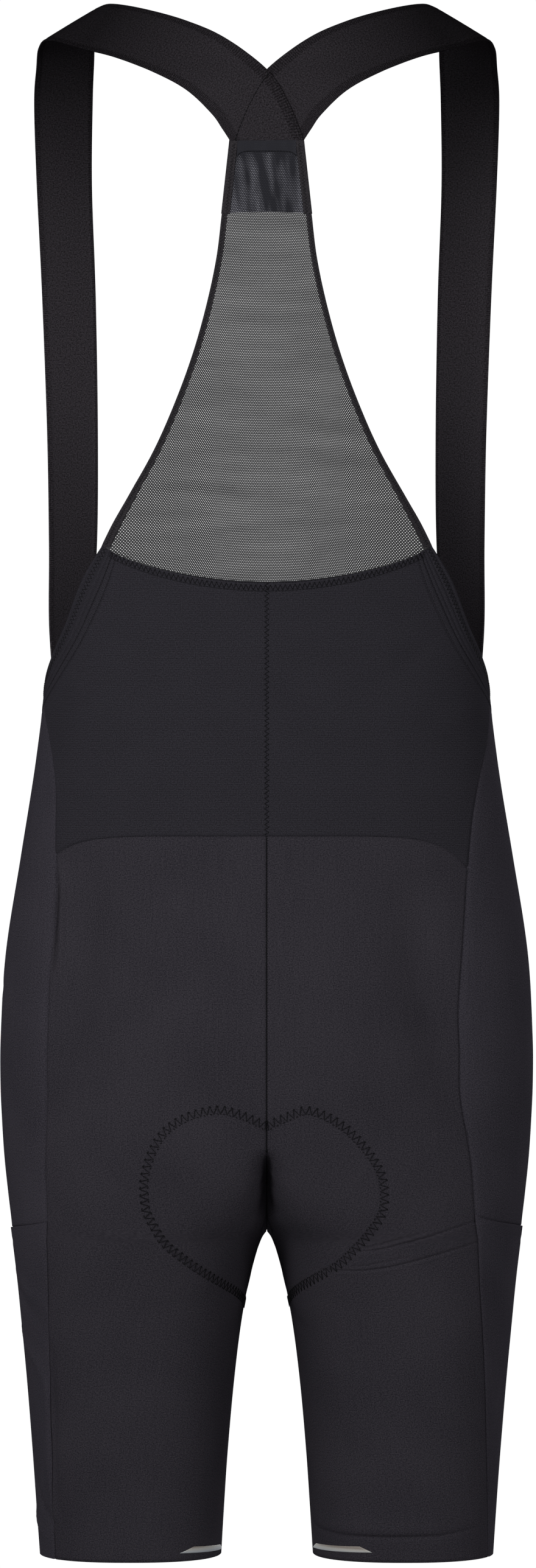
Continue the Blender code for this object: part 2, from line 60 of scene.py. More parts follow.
FORM = (
    # height, half the whole width, middle of one leg's ring, reach to the back, to the front
    (-0.030, 0.1560, 0.0000, 0.0560, 0.0600),
    (-0.060, 0.1610, 0.0000, 0.0740, 0.0760),
    (-0.105, 0.1660, 0.0000, 0.0860, 0.0900),
    (-0.155, 0.1690, 0.0000, 0.0940, 0.0980),
    (-0.210, 0.1690, 0.0000, 0.0975, 0.1020),
    (-0.270, 0.1670, 0.0000, 0.0960, 0.1020),
    (-0.340, 0.1610, 0.0000, 0.0895, 0.1000),
    (-0.410, 0.1570, 0.0000, 0.0845, 0.0990),
    (-0.470, 0.1562, 0.0000, 0.0840, 0.1000),
    (-0.530, 0.1625, 0.0000, 0.0890, 0.1030),
    (-0.600, 0.1735, 0.0000, 0.0985, 0.1050),
    (-0.670, 0.1842, 0.0000, 0.1105, 0.1060),
    (-0.730, 0.1879, 0.0000, 0.1175, 0.1062),
    (-0.7600, 0.1880, 0.0000, 0.1180, 0.1055),
    (-0.7865, 0.1868, 0.0207, 0.1170, 0.1045),
    (-0.8130, 0.1850, 0.0480, 0.1145, 0.1028),
    (-0.8395, 0.1822, 0.0716, 0.1108, 0.1005),
    (-0.8554, 0.1803, 0.0829, 0.1080, 0.0985),
    (-0.8660, 0.1792, 0.0896, 0.1060, 0.0972),
    (-0.8760, 0.1782, 0.0918, 0.1040, 0.0960),
    (-0.8950, 0.1762, 0.0936, 0.1000, 0.0938),
    (-0.9250, 0.1733, 0.0953, 0.0940, 0.0900),
    (-0.9700, 0.1690, 0.0961, 0.0858, 0.0842),
    (-1.0200, 0.1649, 0.0963, 0.0780, 0.0780),
    (-1.0600, 0.1620, 0.0962, 0.0725, 0.0732),
    (-1.1000, 0.1592, 0.0960, 0.0670, 0.0685),
)
SIDE_SEAMS = (
    # height, angle from the centre back of the back seam on the left, on the right, front seam
    (-0.4935, 80.0, 80.0, 112.0),
    (-0.515, 69.0, 72.0, 118.0),
    (-0.545, 60.5, 61.0, 124.0),
    (-0.580, 56.5, 53.5, 127.0),
    (-0.640, 52.0, 47.0, 129.0),
    (-0.700, 51.5, 43.5, 130.0),
    (-0.760, 51.0, 43.5, 130.0),
    (-0.810, 48.0, 41.0, 130.0),
    (-0.860, 43.0, 37.5, 130.0),
    (-0.900, 43.0, 39.5, 130.0),
    (-0.960, 45.5, 46.5, 130.0),
    (-1.030, 48.5, 55.0, 129.0),
    (-1.100, 52.0, 66.0, 128.0),
)


def smooth(table, where, column):
    """A table's column at a height, on a smooth curve through the rows."""
    keys = [-row[0] for row in table]
    last = len(table) - 1
    after = min(max(bisect.bisect_right(keys, -where), 1), last)
    before = after - 1
    span = keys[after] - keys[before]
    part = min(max((-where - keys[before]) / span, 0.0), 1.0)

    def slope(row):
        low, high = max(row - 1, 0), min(row + 1, last)
        return (table[high][column] - table[low][column]) / (keys[high] - keys[low])

    start, end = table[before][column], table[after][column]
    return (start * (1 + 2 * part) * (1 - part) ** 2 + end * part ** 2 * (3 - 2 * part)
            + span * slope(before) * part * (1 - part) ** 2
            - span * slope(after) * part ** 2 * (1 - part))


@lru_cache(maxsize=None)
def ring(height):
    """The half width of one ring, its middle, and its reach to the back and to the front."""
    outer, middle = smooth(FORM, height, 1), smooth(FORM, height, 2)
    return outer - middle, middle, smooth(FORM, height, 3), smooth(FORM, height, 4)


def angle_of(height, x):
    """The angle on the back half of the ring where it crosses x."""
    half, middle, _, _ = ring(height)
    share = min(max((x - middle) / half, -1.0), 1.0)
    rest = (1 - abs(share) ** SQUARENESS) ** (1 / SQUARENESS)
    return degrees(atan2(share, rest))


def middle_angle(height):
    """The angle where the ring meets the middle plane, or its innermost point on a leg."""
    return angle_of(height, 0.0) if height > CROTCH else -90.0


def skin(height, angle):
    """A point of the form on the wearer's left, at an angle round from the centre back."""
    half, middle, back, front = ring(height)
    s, c = sin(radians(angle)), cos(radians(angle))
    size = (abs(s) ** SQUARENESS + abs(c) ** SQUARENESS) ** (1 / SQUARENESS)
    return Vector((middle + half * s / size, (back if c > 0 else front) * c / size, height))


def outward(height, angle):
    """The direction out of the form."""
    step_round = skin(height, angle + 0.5) - skin(height, angle - 0.5)
    step_up = skin(height + 0.001, angle) - skin(height - 0.001, angle)
    return step_up.cross(step_round).normalized()


def turn_for(height, angle, distance):
    """The change of angle that moves a point by a distance round the ring."""
    return distance / (skin(height, angle + 0.5) - skin(height, angle - 0.5)).length


def side_seam(height, side, front=False):
    """The angle of one of a side panel's two seams."""
    column = 3 if front else (1 if side > 0 else 2)
    return smooth(SIDE_SEAMS, height, column)


def blend(start, end, part):
    """The value at a part of the way from start to end."""
    return start + (end - start) * part


# The creases that the cloth keeps: the side they are on, their half width, how far they stand
# up (or sink in, where less than 0), and their course as heights and angles.
CREASES = []
CREASE_TURN = 6.0          # the most degrees from point to point of a crease's line
CREASE_REACH = 2.6         # how many half widths out it still moves the cloth


def crease(side, width, rise, *course):
    """Keep a crease, with its course as points on the form and the box that it acts in."""
    line = []
    for (height, angle), (next_height, next_angle) in zip(course, course[1:]):
        count = max(ceil(abs(next_angle - angle) / CREASE_TURN), 1)
        line += [skin(blend(height, next_height, i / count), blend(angle, next_angle, i / count))
                 for i in range(count)]
    line.append(skin(*course[-1]))
    reach = CREASE_REACH * width
    low = [min(point[axis] for point in line) - reach for axis in range(3)]
    high = [max(point[axis] for point in line) + reach for axis in range(3)]
    CREASES.append((side, width, rise, line, low, high))


# Where the seat pad's edge is sewn through the cloth, from the centre back to the inner leg.
PAD_STITCH = {
    1: ((-0.7862, -7.1), (-0.7786, 1.0), (-0.7746, 8.0), (-0.7808, 14.0), (-0.7945, 16.5),
        (-0.8175, 13.5), (-0.8345, 8.5), (-0.8515, 0.0), (-0.8750, -19.5), (-0.8930, -40.0),
        (-0.9085, -67.0), (-0.9170, -88.0)),
    -1: ((-0.7862, -7.1), (-0.7794, 0.0), (-0.7752, 6.5), (-0.7880, 11.5), (-0.8090, 12.0),
         (-0.8280, 9.0), (-0.8490, 0.0), (-0.8685, -17.0), (-0.8865, -33.0), (-0.9070, -67.0),
         (-0.9150, -88.0)),
}
FRONT_PAD_STITCH = ((-0.9165, 271.0), (-0.9120, 250.0), (-0.9000, 225.0), (-0.8800, 200.0),
                    (-0.8480, 182.0), (-0.8180, 173.5), (-0.7980, 171.5), (-0.7880, 176.0),
                    (-0.7850, 186.0))


def down_the_middle(*heights):
    """A course down the middle seam, or down the inside of a leg."""
    return [(height, middle_angle(height)) for height in heights]


for side in (1, -1):
    # the cleft under the seat, where the pad folds
    crease(side, 0.0030, -0.0160, *down_the_middle(-0.808, -0.820, -0.834, -0.851, -0.872))
    crease(side, 0.0080, -0.0085, *down_the_middle(-0.804, -0.818, -0.832, -0.847, -0.864))
    crease(side, 0.0180, -0.0034, *down_the_middle(-0.780, -0.820, -0.850, -0.890))
    crease(side, 0.0032, -0.0003, *PAD_STITCH[side])
    crease(side, 0.0032, -0.0003, *FRONT_PAD_STITCH)
# the hollows beside the hips
crease(1, 0.0200, -0.0060, (-0.590, 46.0), (-0.640, 42.5), (-0.690, 42.0), (-0.750, 45.0))
crease(-1, 0.0220, -0.0062, (-0.610, 33.0), (-0.670, 34.0), (-0.720, 37.0), (-0.790, 40.0))
# a lip beside the left side seam, and a short pull at its foot
crease(1, 0.0010, -0.0036, (-0.604, 54.6), (-0.622, 52.4), (-0.645, 51.3), (-0.666, 50.6),
       (-0.682, 50.9))
crease(1, 0.0022, 0.0022, (-0.606, 52.6), (-0.624, 50.4), (-0.646, 49.4), (-0.668, 48.7),
       (-0.684, 49.3))
crease(1, 0.0040, -0.0006, (-0.690, 60.0), (-0.694, 75.0), (-0.693, 92.0))
# folds over the right thigh, each a sharp line with a low swell under it and a fainter line over
for fold in (((-0.8752, -24.0), (-0.8735, -17.5), (-0.8720, -8.0), (-0.8682, 2.0),
              (-0.8630, 15.0), (-0.8575, 27.0), (-0.8530, 38.0), (-0.8515, 44.0)),
             ((-0.8871, -42.0), (-0.8873, -33.7), (-0.8872, -19.0), (-0.8845, -6.0),
              (-0.8803, 6.0), (-0.8745, 20.0), (-0.8683, 35.5), (-0.8660, 42.0))):
    crease(-1, 0.0007, -0.0013, *fold)
    crease(-1, 0.0016, 0.0002, *[(height - 0.0020, angle) for height, angle in fold])
crease(-1, 0.0007, -0.0008, (-0.8725, -20.0), (-0.8700, -12.0), (-0.8660, -2.0), (-0.8620, 9.0),
       (-0.8590, 17.0))
crease(-1, 0.0007, -0.0008, (-0.8850, -26.0), (-0.8835, -16.0), (-0.8800, -5.0), (-0.8765, 5.0))
# the pull over the right hem, and soft ones over the left pocket
crease(-1, 0.0016, -0.0015, (-1.0690, -75.0), (-1.0720, -62.0), (-1.0745, -38.0),
       (-1.0748, -9.0), (-1.0742, 20.0), (-1.0690, 52.0))
crease(-1, 0.0045, 0.0012, (-1.0660, -72.0), (-1.0690, -40.0), (-1.0695, -9.0), (-1.0680, 25.0))
crease(1, 0.0045, 0.0014, (-0.8900, 80.0), (-0.9060, 58.0), (-0.9120, 44.0))
crease(1, 0.0040, -0.0012, (-0.8980, 82.0), (-0.9160, 62.0), (-0.9260, 46.0))
crease(1, 0.0034, 0.0018, (-0.9300, 80.0), (-0.9406, 71.4), (-0.9529, 56.7), (-0.9679, 49.5),
       (-0.9972, 49.9), (-1.0236, 52.4), (-1.0446, 51.2), (-1.0645, 49.3), (-1.0720, 47.0))
crease(1, 0.0030, -0.0012, (-0.9300, 46.0), (-0.9486, 43.0), (-0.9694, 44.0), (-0.9926, 44.0),
       (-1.0167, 46.0), (-1.0390, 46.0), (-1.0520, 46.0))
crease(1, 0.0026, -0.0026, (-1.0250, 79.0), (-1.0350, 77.1), (-1.0419, 70.7), (-1.0565, 61.4),
       (-1.0660, 50.7), (-1.0672, 46.0))
crease(1, 0.0040, 0.0014, (-1.0620, 84.0), (-1.0720, 70.0), (-1.0780, 56.0))
crease(-1, 0.0030, -0.0008, (-0.8620, 44.0), (-0.8730, 50.0), (-0.8840, 58.0))
crease(-1, 0.0050, 0.0009, (-0.8700, 78.0), (-0.8900, 60.0), (-0.9100, 50.0))
crease(-1, 0.0060, -0.0010, (-0.9500, 80.0), (-0.9800, 66.0), (-1.0200, 58.0))
# light ones inside the thighs and across the front, where the legs bend
for side in (1, -1):
    crease(side, 0.0080, -0.0005, (-0.900, -60.0), (-0.912, -30.0), (-0.915, 0.0))
    crease(side, 0.0050, -0.0008, (-0.905, -88.0), (-0.925, -70.0), (-0.935, -52.0))
    crease(side, 0.0070, -0.0016, (-0.835, 215.0), (-0.818, 190.0), (-0.800, 165.0),
           (-0.790, 140.0))
    crease(side, 0.0060, -0.0012, (-0.860, 235.0), (-0.846, 205.0), (-0.838, 180.0))
    crease(side, 0.0080, 0.0012, (-0.815, 205.0), (-0.800, 180.0), (-0.784, 152.0))
    crease(side, 0.0080, -0.0012, (-0.610, 178.0), (-0.618, 160.0), (-0.615, 138.0))
    crease(side, 0.0070, -0.0010, (-0.650, 150.0), (-0.664, 128.0), (-0.668, 108.0))
# faint swags across the mesh, and drag lines from the armholes over the small of the back
crease(1, 0.0050, 0.0014, (-0.345, 34.0), (-0.338, 20.0), (-0.342, 4.0))
crease(1, 0.0045, -0.0012, (-0.354, 36.0), (-0.350, 20.0), (-0.352, 2.0))
crease(1, 0.0050, 0.0012, (-0.372, 30.0), (-0.369, 16.0), (-0.372, 2.0))
crease(-1, 0.0050, 0.0010, (-0.352, 6.0), (-0.362, 22.0), (-0.366, 34.0))
crease(-1, 0.0035, 0.0012, (-0.372, 8.0), (-0.385, 11.0), (-0.400, 10.0))
crease(1, 0.0060, -0.0006, (-0.440, 46.0), (-0.460, 30.0), (-0.470, 14.0))
crease(-1, 0.0060, -0.0006, (-0.445, 48.0), (-0.470, 34.0), (-0.490, 22.0))
crease(-1, 0.0060, 0.0005, (-0.500, 60.0), (-0.515, 45.0), (-0.520, 30.0))


UNEVEN = 0.00045           # how far the cloth's uneven lie stands in and out
SWELLS_ROUND = 14          # its swells to the metre, round the body
SWELLS_DOWN = 9            # and down it


def relief(point, side):
    """How far the cloth stands out at a point of the form: its creases and an uneven lie."""
    spot = Vector((side * point.x * SWELLS_ROUND, point.y * SWELLS_ROUND, point.z * SWELLS_DOWN))
    total = UNEVEN * noise.noise(spot)
    for crease_side, width, rise, line, low, high in CREASES:
        if crease_side != side or not all(a < b < c for a, b, c in zip(low, point, high)):
            continue
        best, best_part = 1.0, 0.0
        for index in range(len(line) - 1):
            start, run = line[index], line[index + 1] - line[index]
            part = min(max((point - start).dot(run) / run.length_squared, 0.0), 1.0)
            gap = (point - start - run * part).length
            if gap < best:
                best, best_part = gap, (index + part) / (len(line) - 1)
        total += rise * exp(-(best / width) ** 2) * sin(pi * best_part) ** 0.6
    return total


MIDDLE_REACH = 0.012       # how near the middle plane the cloth's relief starts to lie in it


def lay(height, angle, side, proud):
    """A point of the cloth laid on the form, on the wearer's left even where it is mirrored.

    Near the middle plane it only moves in that plane, so that the two halves stay joined.
    """
    point = skin(height, angle)
    way = outward(height, angle)
    way.x *= min(point.x / MIDDLE_REACH, 1.0)
    return point + (proud + relief(point, side)) * way


SEAM_SINK = 0.00095        # how deep cloth sinks into a seam
SEAM_HALF = 0.0007         # the sink's half width
SEAM_SWELL = 0.00014       # how far it swells over the seam's allowance
ALLOWANCE = 0.0030         # how far from the seam that is
UNDER_SINK = 0.0006        # how much deeper an edge lies where it runs on under its neighbour
UNDER_REACH = 0.0004       # and how soon it does


def seam_dip(distance):
    """Cloth sinks into a seam, and swells a little over the seam's allowance beside it."""
    return (SEAM_SWELL * exp(-((distance - ALLOWANCE) / (ALLOWANCE / 2)) ** 2)
            - SEAM_SINK * exp(-(distance / SEAM_HALF) ** 2))


def tucked(distance):
    """The same, where the cloth's edge runs on under its neighbour past the seam line."""
    under = min(max(-distance / UNDER_REACH, 0.0), 1.0)
    return seam_dip(max(distance, 0.0)) - UNDER_SINK * under


# how far from an edge a grid's first lines lie, so that they follow a seam's dip
NEAR_SEAM = (0.0003, 0.0008, 0.0014, 0.0022, 0.0034)
BESIDE_SEAM = NEAR_SEAM + (0.0046, 0.0058, 0.0070, 0.0083, 0.0096, 0.0110)


def even(count):
    """Parts of the way along, evenly apart."""
    return [i / count for i in range(count + 1)]


def stations(length, step, fine=NEAR_SEAM):
    """Parts of the way along a length, a step apart, and closer near both ends."""
    near = [distance / length for distance in fine]
    count = ceil((length - 2 * fine[-1]) / step)
    middle = [blend(near[-1], 1 - near[-1], i / count) for i in range(1, count)]
    return [0.0] + near + middle + [1 - part for part in reversed(near)] + [1.0]


def cloth(name, across, down, place, wall, finish, side=1, grain="down", joined=False):
    """Lay a grid of cloth by place(u, v), mirrored where side is -1, and give it a wall.

    Its map, named cloth, is in metres: along the rows, and by height, or down the run of the
    piece where the grain follows it. A joined grid closes on itself.
    """
    rows = [[place(u, v) for u in across] for v in down]
    runs, falls = [], [0.0]
    middle = len(across) // 2
    for row in rows:
        run = [0.0]
        for before, after in zip(row, row[1:]):
            run.append(run[-1] + (after - before).length)
        start = 0.0 if grain == "down" else run[middle]
        runs.append([part - start for part in run])
    for before, after in zip(rows, rows[1:]):
        falls.append(falls[-1] - (after[middle] - before[middle]).length)

    kept = len(across) - 1 if joined else len(across)
    points = [(side * p.x, p.y, p.z) for row in rows for p in row[:kept]]
    faces, spots = [], []
    for i in range(len(rows) - 1):
        for j in range(len(across) - 1):
            corners = [(i, j), (i, j + 1), (i + 1, j + 1), (i + 1, j)]
            if side < 0:
                corners.reverse()
            faces.append([a * kept + b % kept for a, b in corners])
            spots += [(side * runs[a][b], rows[a][b].z if grain == "down" else falls[a])
                      for a, b in corners]
    mesh = bpy.data.meshes.new(name)
    mesh.from_pydata(points, [], faces)
    layer = mesh.uv_layers.new(name="cloth")
    for loop, spot in zip(layer.data, spots):
        loop.uv = spot
    mesh.materials.append(finish)
    mesh.shade_smooth()
    piece = bpy.data.objects.new(name, mesh)
    bpy.context.scene.collection.objects.link(piece)
    thickness = piece.modifiers.new("wall", 'SOLIDIFY')
    thickness.thickness = wall
    thickness.offset = -1
    return piece


def sewn(piece, node):
    """Hang a cut piece of cloth that stands for its CAD node on the root, and hide that node.
    Stretch cloth is cut small, and the piece has its sizes in use."""
    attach(piece, "root")
    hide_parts(node)


def linear(text):
    """An sRGB hex colour as linear numbers."""
    parts = [int(text[i:i + 2], 16) / 255 for i in (0, 2, 4)]
    return [p / 12.92 if p <= 0.04045 else ((p + 0.055) / 1.055) ** 2.4 for p in parts] + [1.0]


def node(tree, kind, inputs=(), output=0, stops=(), to=None, **settings):
    """Add a node with its settings, its inputs' values or the sockets linked to them, and a
    ramp's stops (where each is, and its colour or share of white). Link on and give an output."""
    made = tree.nodes.new("ShaderNode" + kind)
    for name, value in settings.items():
        setattr(made, name, value)
    for socket, value in inputs.items() if isinstance(inputs, dict) else enumerate(inputs):
        if isinstance(value, bpy.types.NodeSocket):
            tree.links.new(value, made.inputs[socket])
        else:
            made.inputs[socket].default_value = value
    if stops:
        ramp = made.color_ramp.elements
        ramp[0].position, ramp[1].position = stops[0][0], stops[-1][0]
        for where, _ in stops[1:-1]:
            ramp.new(where)
        for stop, (_, tone) in zip(ramp, stops):
            stop.color = linear(tone) if isinstance(tone, str) else (tone, tone, tone, 1.0)
    if to is not None:
        tree.links.new(made.outputs[output], to)
    return made.outputs[output]


def material(name, colour, roughness, specular, sheen=0.0, sheen_roughness=0.4):
    """A material with its even values, its nodes, and its shader's inputs."""
    made = bpy.data.materials.new(name)
    made.use_nodes = True
    face = made.node_tree.nodes["Principled BSDF"].inputs
    face["Base Color"].default_value = linear(colour)
    face["Roughness"].default_value = roughness
    face["Specular IOR Level"].default_value = specular
    face["Sheen Weight"].default_value = sheen
    face["Sheen Roughness"].default_value = sheen_roughness
    return made, made.node_tree, face


def textile(*values):
    """A cloth's material, its nodes, its shader's inputs, and its map in metres."""
    made, tree, face = material(*values)
    return made, tree, face, node(tree, "UVMap", output="UV", uv_map="cloth")


def in_other_tones(first, name, dark, light):
    """The same cloth with its ramps set to two other tones."""
    made = first.copy()
    made.name = name
    for part in made.node_tree.nodes:
        if part.bl_idname == "ShaderNodeValToRGB":
            part.color_ramp.elements[0].color = linear(dark)
            part.color_ramp.elements[1].color = linear(light)
    return made


def stripes(tree, spot, across, pitch):
    """A smooth wave from -1 to 1 along one way of the map, with a real pitch in metres."""
    distance = node(tree, "SeparateXYZ", (spot,), across)
    turns = node(tree, "Math", (distance, 2 * pi / pitch), operation='MULTIPLY')
    return node(tree, "Math", (turns,), operation='SINE')


# Warp-knit polyamide and elastane, dyed black: smooth and nearly matt, with a grain of fine wales
# that the eye sees as a faint fleck.
WALE = 0.0009              # the real 0.4 mm wales, drawn about twice as coarse to show at all
COURSE = 0.0011
knit, tree, face, spot = textile("warp_knit_polyamide", "1e1d1f", 0.90, 0.0)
loops = node(tree, "Math", (stripes(tree, spot, "X", WALE), stripes(tree, spot, "Y", COURSE)),
             operation='MULTIPLY')
grain = node(tree, "TexNoise", {"Vector": spot, "Scale": 1150.0, "Detail": 3.0})
cloud = node(tree, "TexNoise", {"Vector": spot, "Scale": 16.0, "Detail": 1.0})
drawn_out = node(tree, "Mapping", {"Vector": spot, "Scale": (1.0, 0.06, 1.0)})
yarn = node(tree, "TexNoise", {"Vector": drawn_out, "Scale": 620.0, "Detail": 2.0})
mottle = node(tree, "Math", (cloud, 0.15, grain), operation='MULTIPLY_ADD')
mottle = node(tree, "Math", (yarn, 0.10, mottle), operation='MULTIPLY_ADD')
node(tree, "ValToRGB", (mottle,), stops=((0.42, "141317"), (0.84, "28262a")),
     to=face["Base Color"])
height = node(tree, "Math", (loops, 0.35, grain), operation='MULTIPLY_ADD')
node(tree, "Bump", {"Strength": 0.22, "Distance": 0.00016, "Height": height}, to=face["Normal"])


def yoke_height(share, side):
    """The yoke seam, level across the back and falling near the side seams."""
    return YOKE - YOKE_DROP[side] * share ** 6


SHARP_CREASES = ((-0.845, -0.898), (-1.064, -1.080))    # from one height down to another
ROW_STEP = 0.0030          # between the rows of a leg's panels
FINE_ROW_STEP = 0.0007     # and where the creases are sharp


def leg_levels(top):
    """Heights of the rows from a top to the hem, close together where the creases are sharp."""
    levels = [top] + [top - distance for distance in NEAR_SEAM]
    while levels[-1] > HEM + ROW_STEP + 0.0002:
        sharp = any(foot < levels[-1] < head for head, foot in SHARP_CREASES)
        levels.append(levels[-1] - (FINE_ROW_STEP if sharp else ROW_STEP))
    return levels + [HEM]


def keep_apart(point, front=False):
    """Hold a panel on its own side of the middle plane and of the inner leg seam."""
    y = min(point.y, 0.0) if front else max(point.y, 0.0)
    return Vector((max(point.x, 0.0), y, point.z))


def fall_away(part):
    """From 1 to 0 with no corner at either end."""
    part = min(max(part, 0.0), 1.0)
    return 1 - part * part * (3 - 2 * part)


DRAWN_DEPTH = 0.22         # how deep a side seam sinks where drawn flat, as a part of others
UNDRAWN_DEPTH = 0.48       # and how much deeper it does elsewhere
POCKET_DRAWS = -0.905      # the height under which the left pocket draws its seam flat
HEM_TACK = -1.0740         # and the height where the hem's tack ends that


def side_dip(distance, height, side):
    """The dip at a side seam, nearly gone down the left leg, where the pocket draws it flat."""
    drawn = (POCKET_DRAWS - height) / 0.020 if side > 0 and height > HEM_TACK else 0.0
    return (DRAWN_DEPTH + UNDRAWN_DEPTH * fall_away(drawn)) * seam_dip(distance)


SEAM_TUCK = 0.0012         # how far a panel's top runs on under the piece above it
PANEL = 0.150              # about how wide a leg's back and front are
backs = {}
for side in (1, -1):
    def place(u, level):
        drop = (yoke_height(u, side) - YOKE) * fall_away((YOKE - level) / YOKE_FALL)
        height = level + drop + SEAM_TUCK * fall_away((YOKE - level) / 0.002)
        seam = side_seam(height, side)
        seam -= turn_for(height, seam, SEAM_GAP / 2)
        angle = blend(middle_angle(height), seam, u)
        dip = (seam_dip(u * PANEL) + side_dip((1 - u) * PANEL, height, side)
               + tucked(YOKE - level - SEAM_TUCK / 2))
        return keep_apart(lay(height, angle, side, dip))
    backs[side] = cloth("back_of_leg_" + NAME[side], stations(PANEL, 0.0018, BESIDE_SEAM),
                        leg_levels(YOKE), place, KNIT, knit, side)


# ---------------------------------------------------------------- reflective tabs
# A thin silver film is heat-sealed on the inner back of each leg over the hem, cut with slanted
# ends. Glass beads under its face give a satin grey, a little brown above and blue below.
REFLECTIVE_TOP = -1.0831
REFLECTIVE_FOOT = -1.0871
REFLECTIVE_TILT = {1: (-0.0018, 0.0006), -1: (-0.0003, 0.0017)}   # at the inner and outer ends
REFLECTIVE_ANGLES = {      # inner end and outer end, each at the top and at the foot
    1: (-74.0, -84.0, -42.0, -32.0),
    -1: (-68.0, -78.0, -28.0, -20.0),
}
FILM = 0.00022

film, tree, face, spot = textile("reflective_film", "757574", 0.45, 0.25)
beads = node(tree, "TexNoise", {"Vector": spot, "Scale": 1500.0, "Detail": 2.0})
rise = node(tree, "SeparateXYZ", (spot,), "Y")
fall = node(tree, "MapRange", (rise, REFLECTIVE_FOOT, REFLECTIVE_TOP, 0.0, 0.85))
tint = node(tree, "Math", (beads, 0.30, fall), operation='MULTIPLY_ADD')
node(tree, "ValToRGB", (tint,), to=face["Base Color"],
     stops=((0.0, "4c5158"), (0.30, "6f7275"), (0.72, "757470"), (1.0, "59534e")))

for side in (1, -1):
    inner_top, inner_foot, outer_top, outer_foot = REFLECTIVE_ANGLES[side]

    def place(u, v):
        height = blend(REFLECTIVE_TOP, REFLECTIVE_FOOT, v) + blend(*REFLECTIVE_TILT[side], u)
        angle = blend(blend(inner_top, inner_foot, v), blend(outer_top, outer_foot, v), u)
        return lay(height, angle, side, 0.0004)
    tab_film = cloth("reflective_tab_" + NAME[side], even(30), even(6), place, FILM, film, side)
    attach(tab_film, "root")
    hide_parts("reflective_" + NAME[side])
    sewn(backs[side], "back_leg_" + NAME[side])


# ---------------------------------------------------------------- side panels
# A strip of the same knit runs down each side from the armhole's band to the hem, and its lower
# part carries the cargo pocket. Its top row hangs from the seam under the edge band.
FRONT_TOP = -0.512         # height of the front's top seam at the middle of its fall
BAND_FALL = 0.073          # how far down the panels take up that seam's fall
EDGE_BAND = (
    # free edge's angle and height, and the angle and height of the seam that joins it on
    (44.0, -0.3840, 39.2, -0.3905),
    (52.0, -0.4075, 43.8, -0.4180),
    (61.0, -0.4378, 52.1, -0.4487),
    (70.5, -0.4568, 61.5, -0.4706),
    (80.5, -0.4705, 72.4, -0.4868),
    (92.0, -0.4812, 88.0, -0.4990),
    (110.0, -0.4920, 108.8, -0.5075),
    (131.0, -0.5005, 130.3, -0.5155),
    (155.0, -0.5080, 154.8, -0.5225),
    (180.0, -0.5120, 180.0, -0.5265),
)
STRIP = 0.110              # about how wide a side panel is
SIDE_TUCK = 0.0016         # how far an edge runs on under its neighbour at the side seams
POCKET_MOUTH = {1: (-0.8539, 0.0141, 0.7), -1: (-0.8475, 0.0195, 0.5)}
POCKET_RECESS = 0.0016     # how far the panel lies in under the pocket
RECESS_START = 0.0010      # how far over the mouth that starts
RECESS_RAMP = 0.0026       # and the height it takes
EDGE_SINK = 0.0007         # how deep the edges lie that run on under their neighbours

# The same knit in tones a little lighter and bluer.
side_knit = in_other_tones(knit, "warp_knit_polyamide_side", "161519", "2b292e")


def along(table, part, columns):
    """Some columns of a table at a part of the way through its rows, on a smooth curve."""
    place = min(max(part, 0.0), 1.0) * (len(table) - 1)
    row = min(int(place), len(table) - 2)
    t = place - row

    def spline(column):
        a, b, c, d = (table[min(max(row + step, 0), len(table) - 1)][column]
                      for step in (-1, 0, 1, 2))
        return 0.5 * (2 * b + (c - a) * t + (2 * a - 5 * b + 4 * c - d) * t ** 2
                      + (3 * b - a - 3 * c + d) * t ** 3)
    return [spline(column) for column in columns]


def band_part(angle):
    """How far along the edge band its lower seam reaches an angle round the ring."""
    low, high = 0.0, 1.0
    for _ in range(24):
        middle = (low + high) / 2
        if along(EDGE_BAND, middle, (2, 3))[0] < angle:
            low = middle
        else:
            high = middle
    return low


def hang_from_band(level, angle_at):
    """Height and angle in a row of a panel whose top follows the edge band's seam."""
    fade = fall_away((FRONT_TOP - level) / BAND_FALL)
    height = level
    for _ in range(4 if fade else 0):
        seam = along(EDGE_BAND, band_part(angle_at(height)), (2, 3))[1]
        height = level + (seam + SEAM_TUCK - FRONT_TOP) * fade
    return height, angle_at(height)


def mouth_height(u, side):
    """The pocket's mouth, which falls from the back seam to the front seam."""
    top, fall, bend = POCKET_MOUTH[side]
    return top - fall * u ** bend


for side in (1, -1):
    def place(u, level):
        def angle_at(height):
            back, front = side_seam(height, side), side_seam(height, side, front=True)
            back -= turn_for(height, back, SIDE_TUCK)
            front += turn_for(height, front, SIDE_TUCK)
            return blend(back, front, u)
        height, angle = hang_from_band(level, angle_at)
        from_back, from_front = u * STRIP - SIDE_TUCK, (1 - u) * STRIP - SIDE_TUCK
        dip = (side_dip(max(from_back, 0.0), height, side) + seam_dip(max(from_front, 0.0))
               + tucked(FRONT_TOP - level - SEAM_TUCK))
        dip -= EDGE_SINK * fall_away(min(from_back, from_front) / UNDER_REACH + 1)
        under = (mouth_height(u, side) + RECESS_START - height) / RECESS_RAMP
        return lay(height, angle, side, dip - POCKET_RECESS * (1 - fall_away(under)))
    panel = cloth("side_of_leg_" + NAME[side], stations(STRIP, 0.0032), leg_levels(FRONT_TOP),
                  place, KNIT, side_knit, side)
    sewn(panel, "side_panel_" + NAME[side])


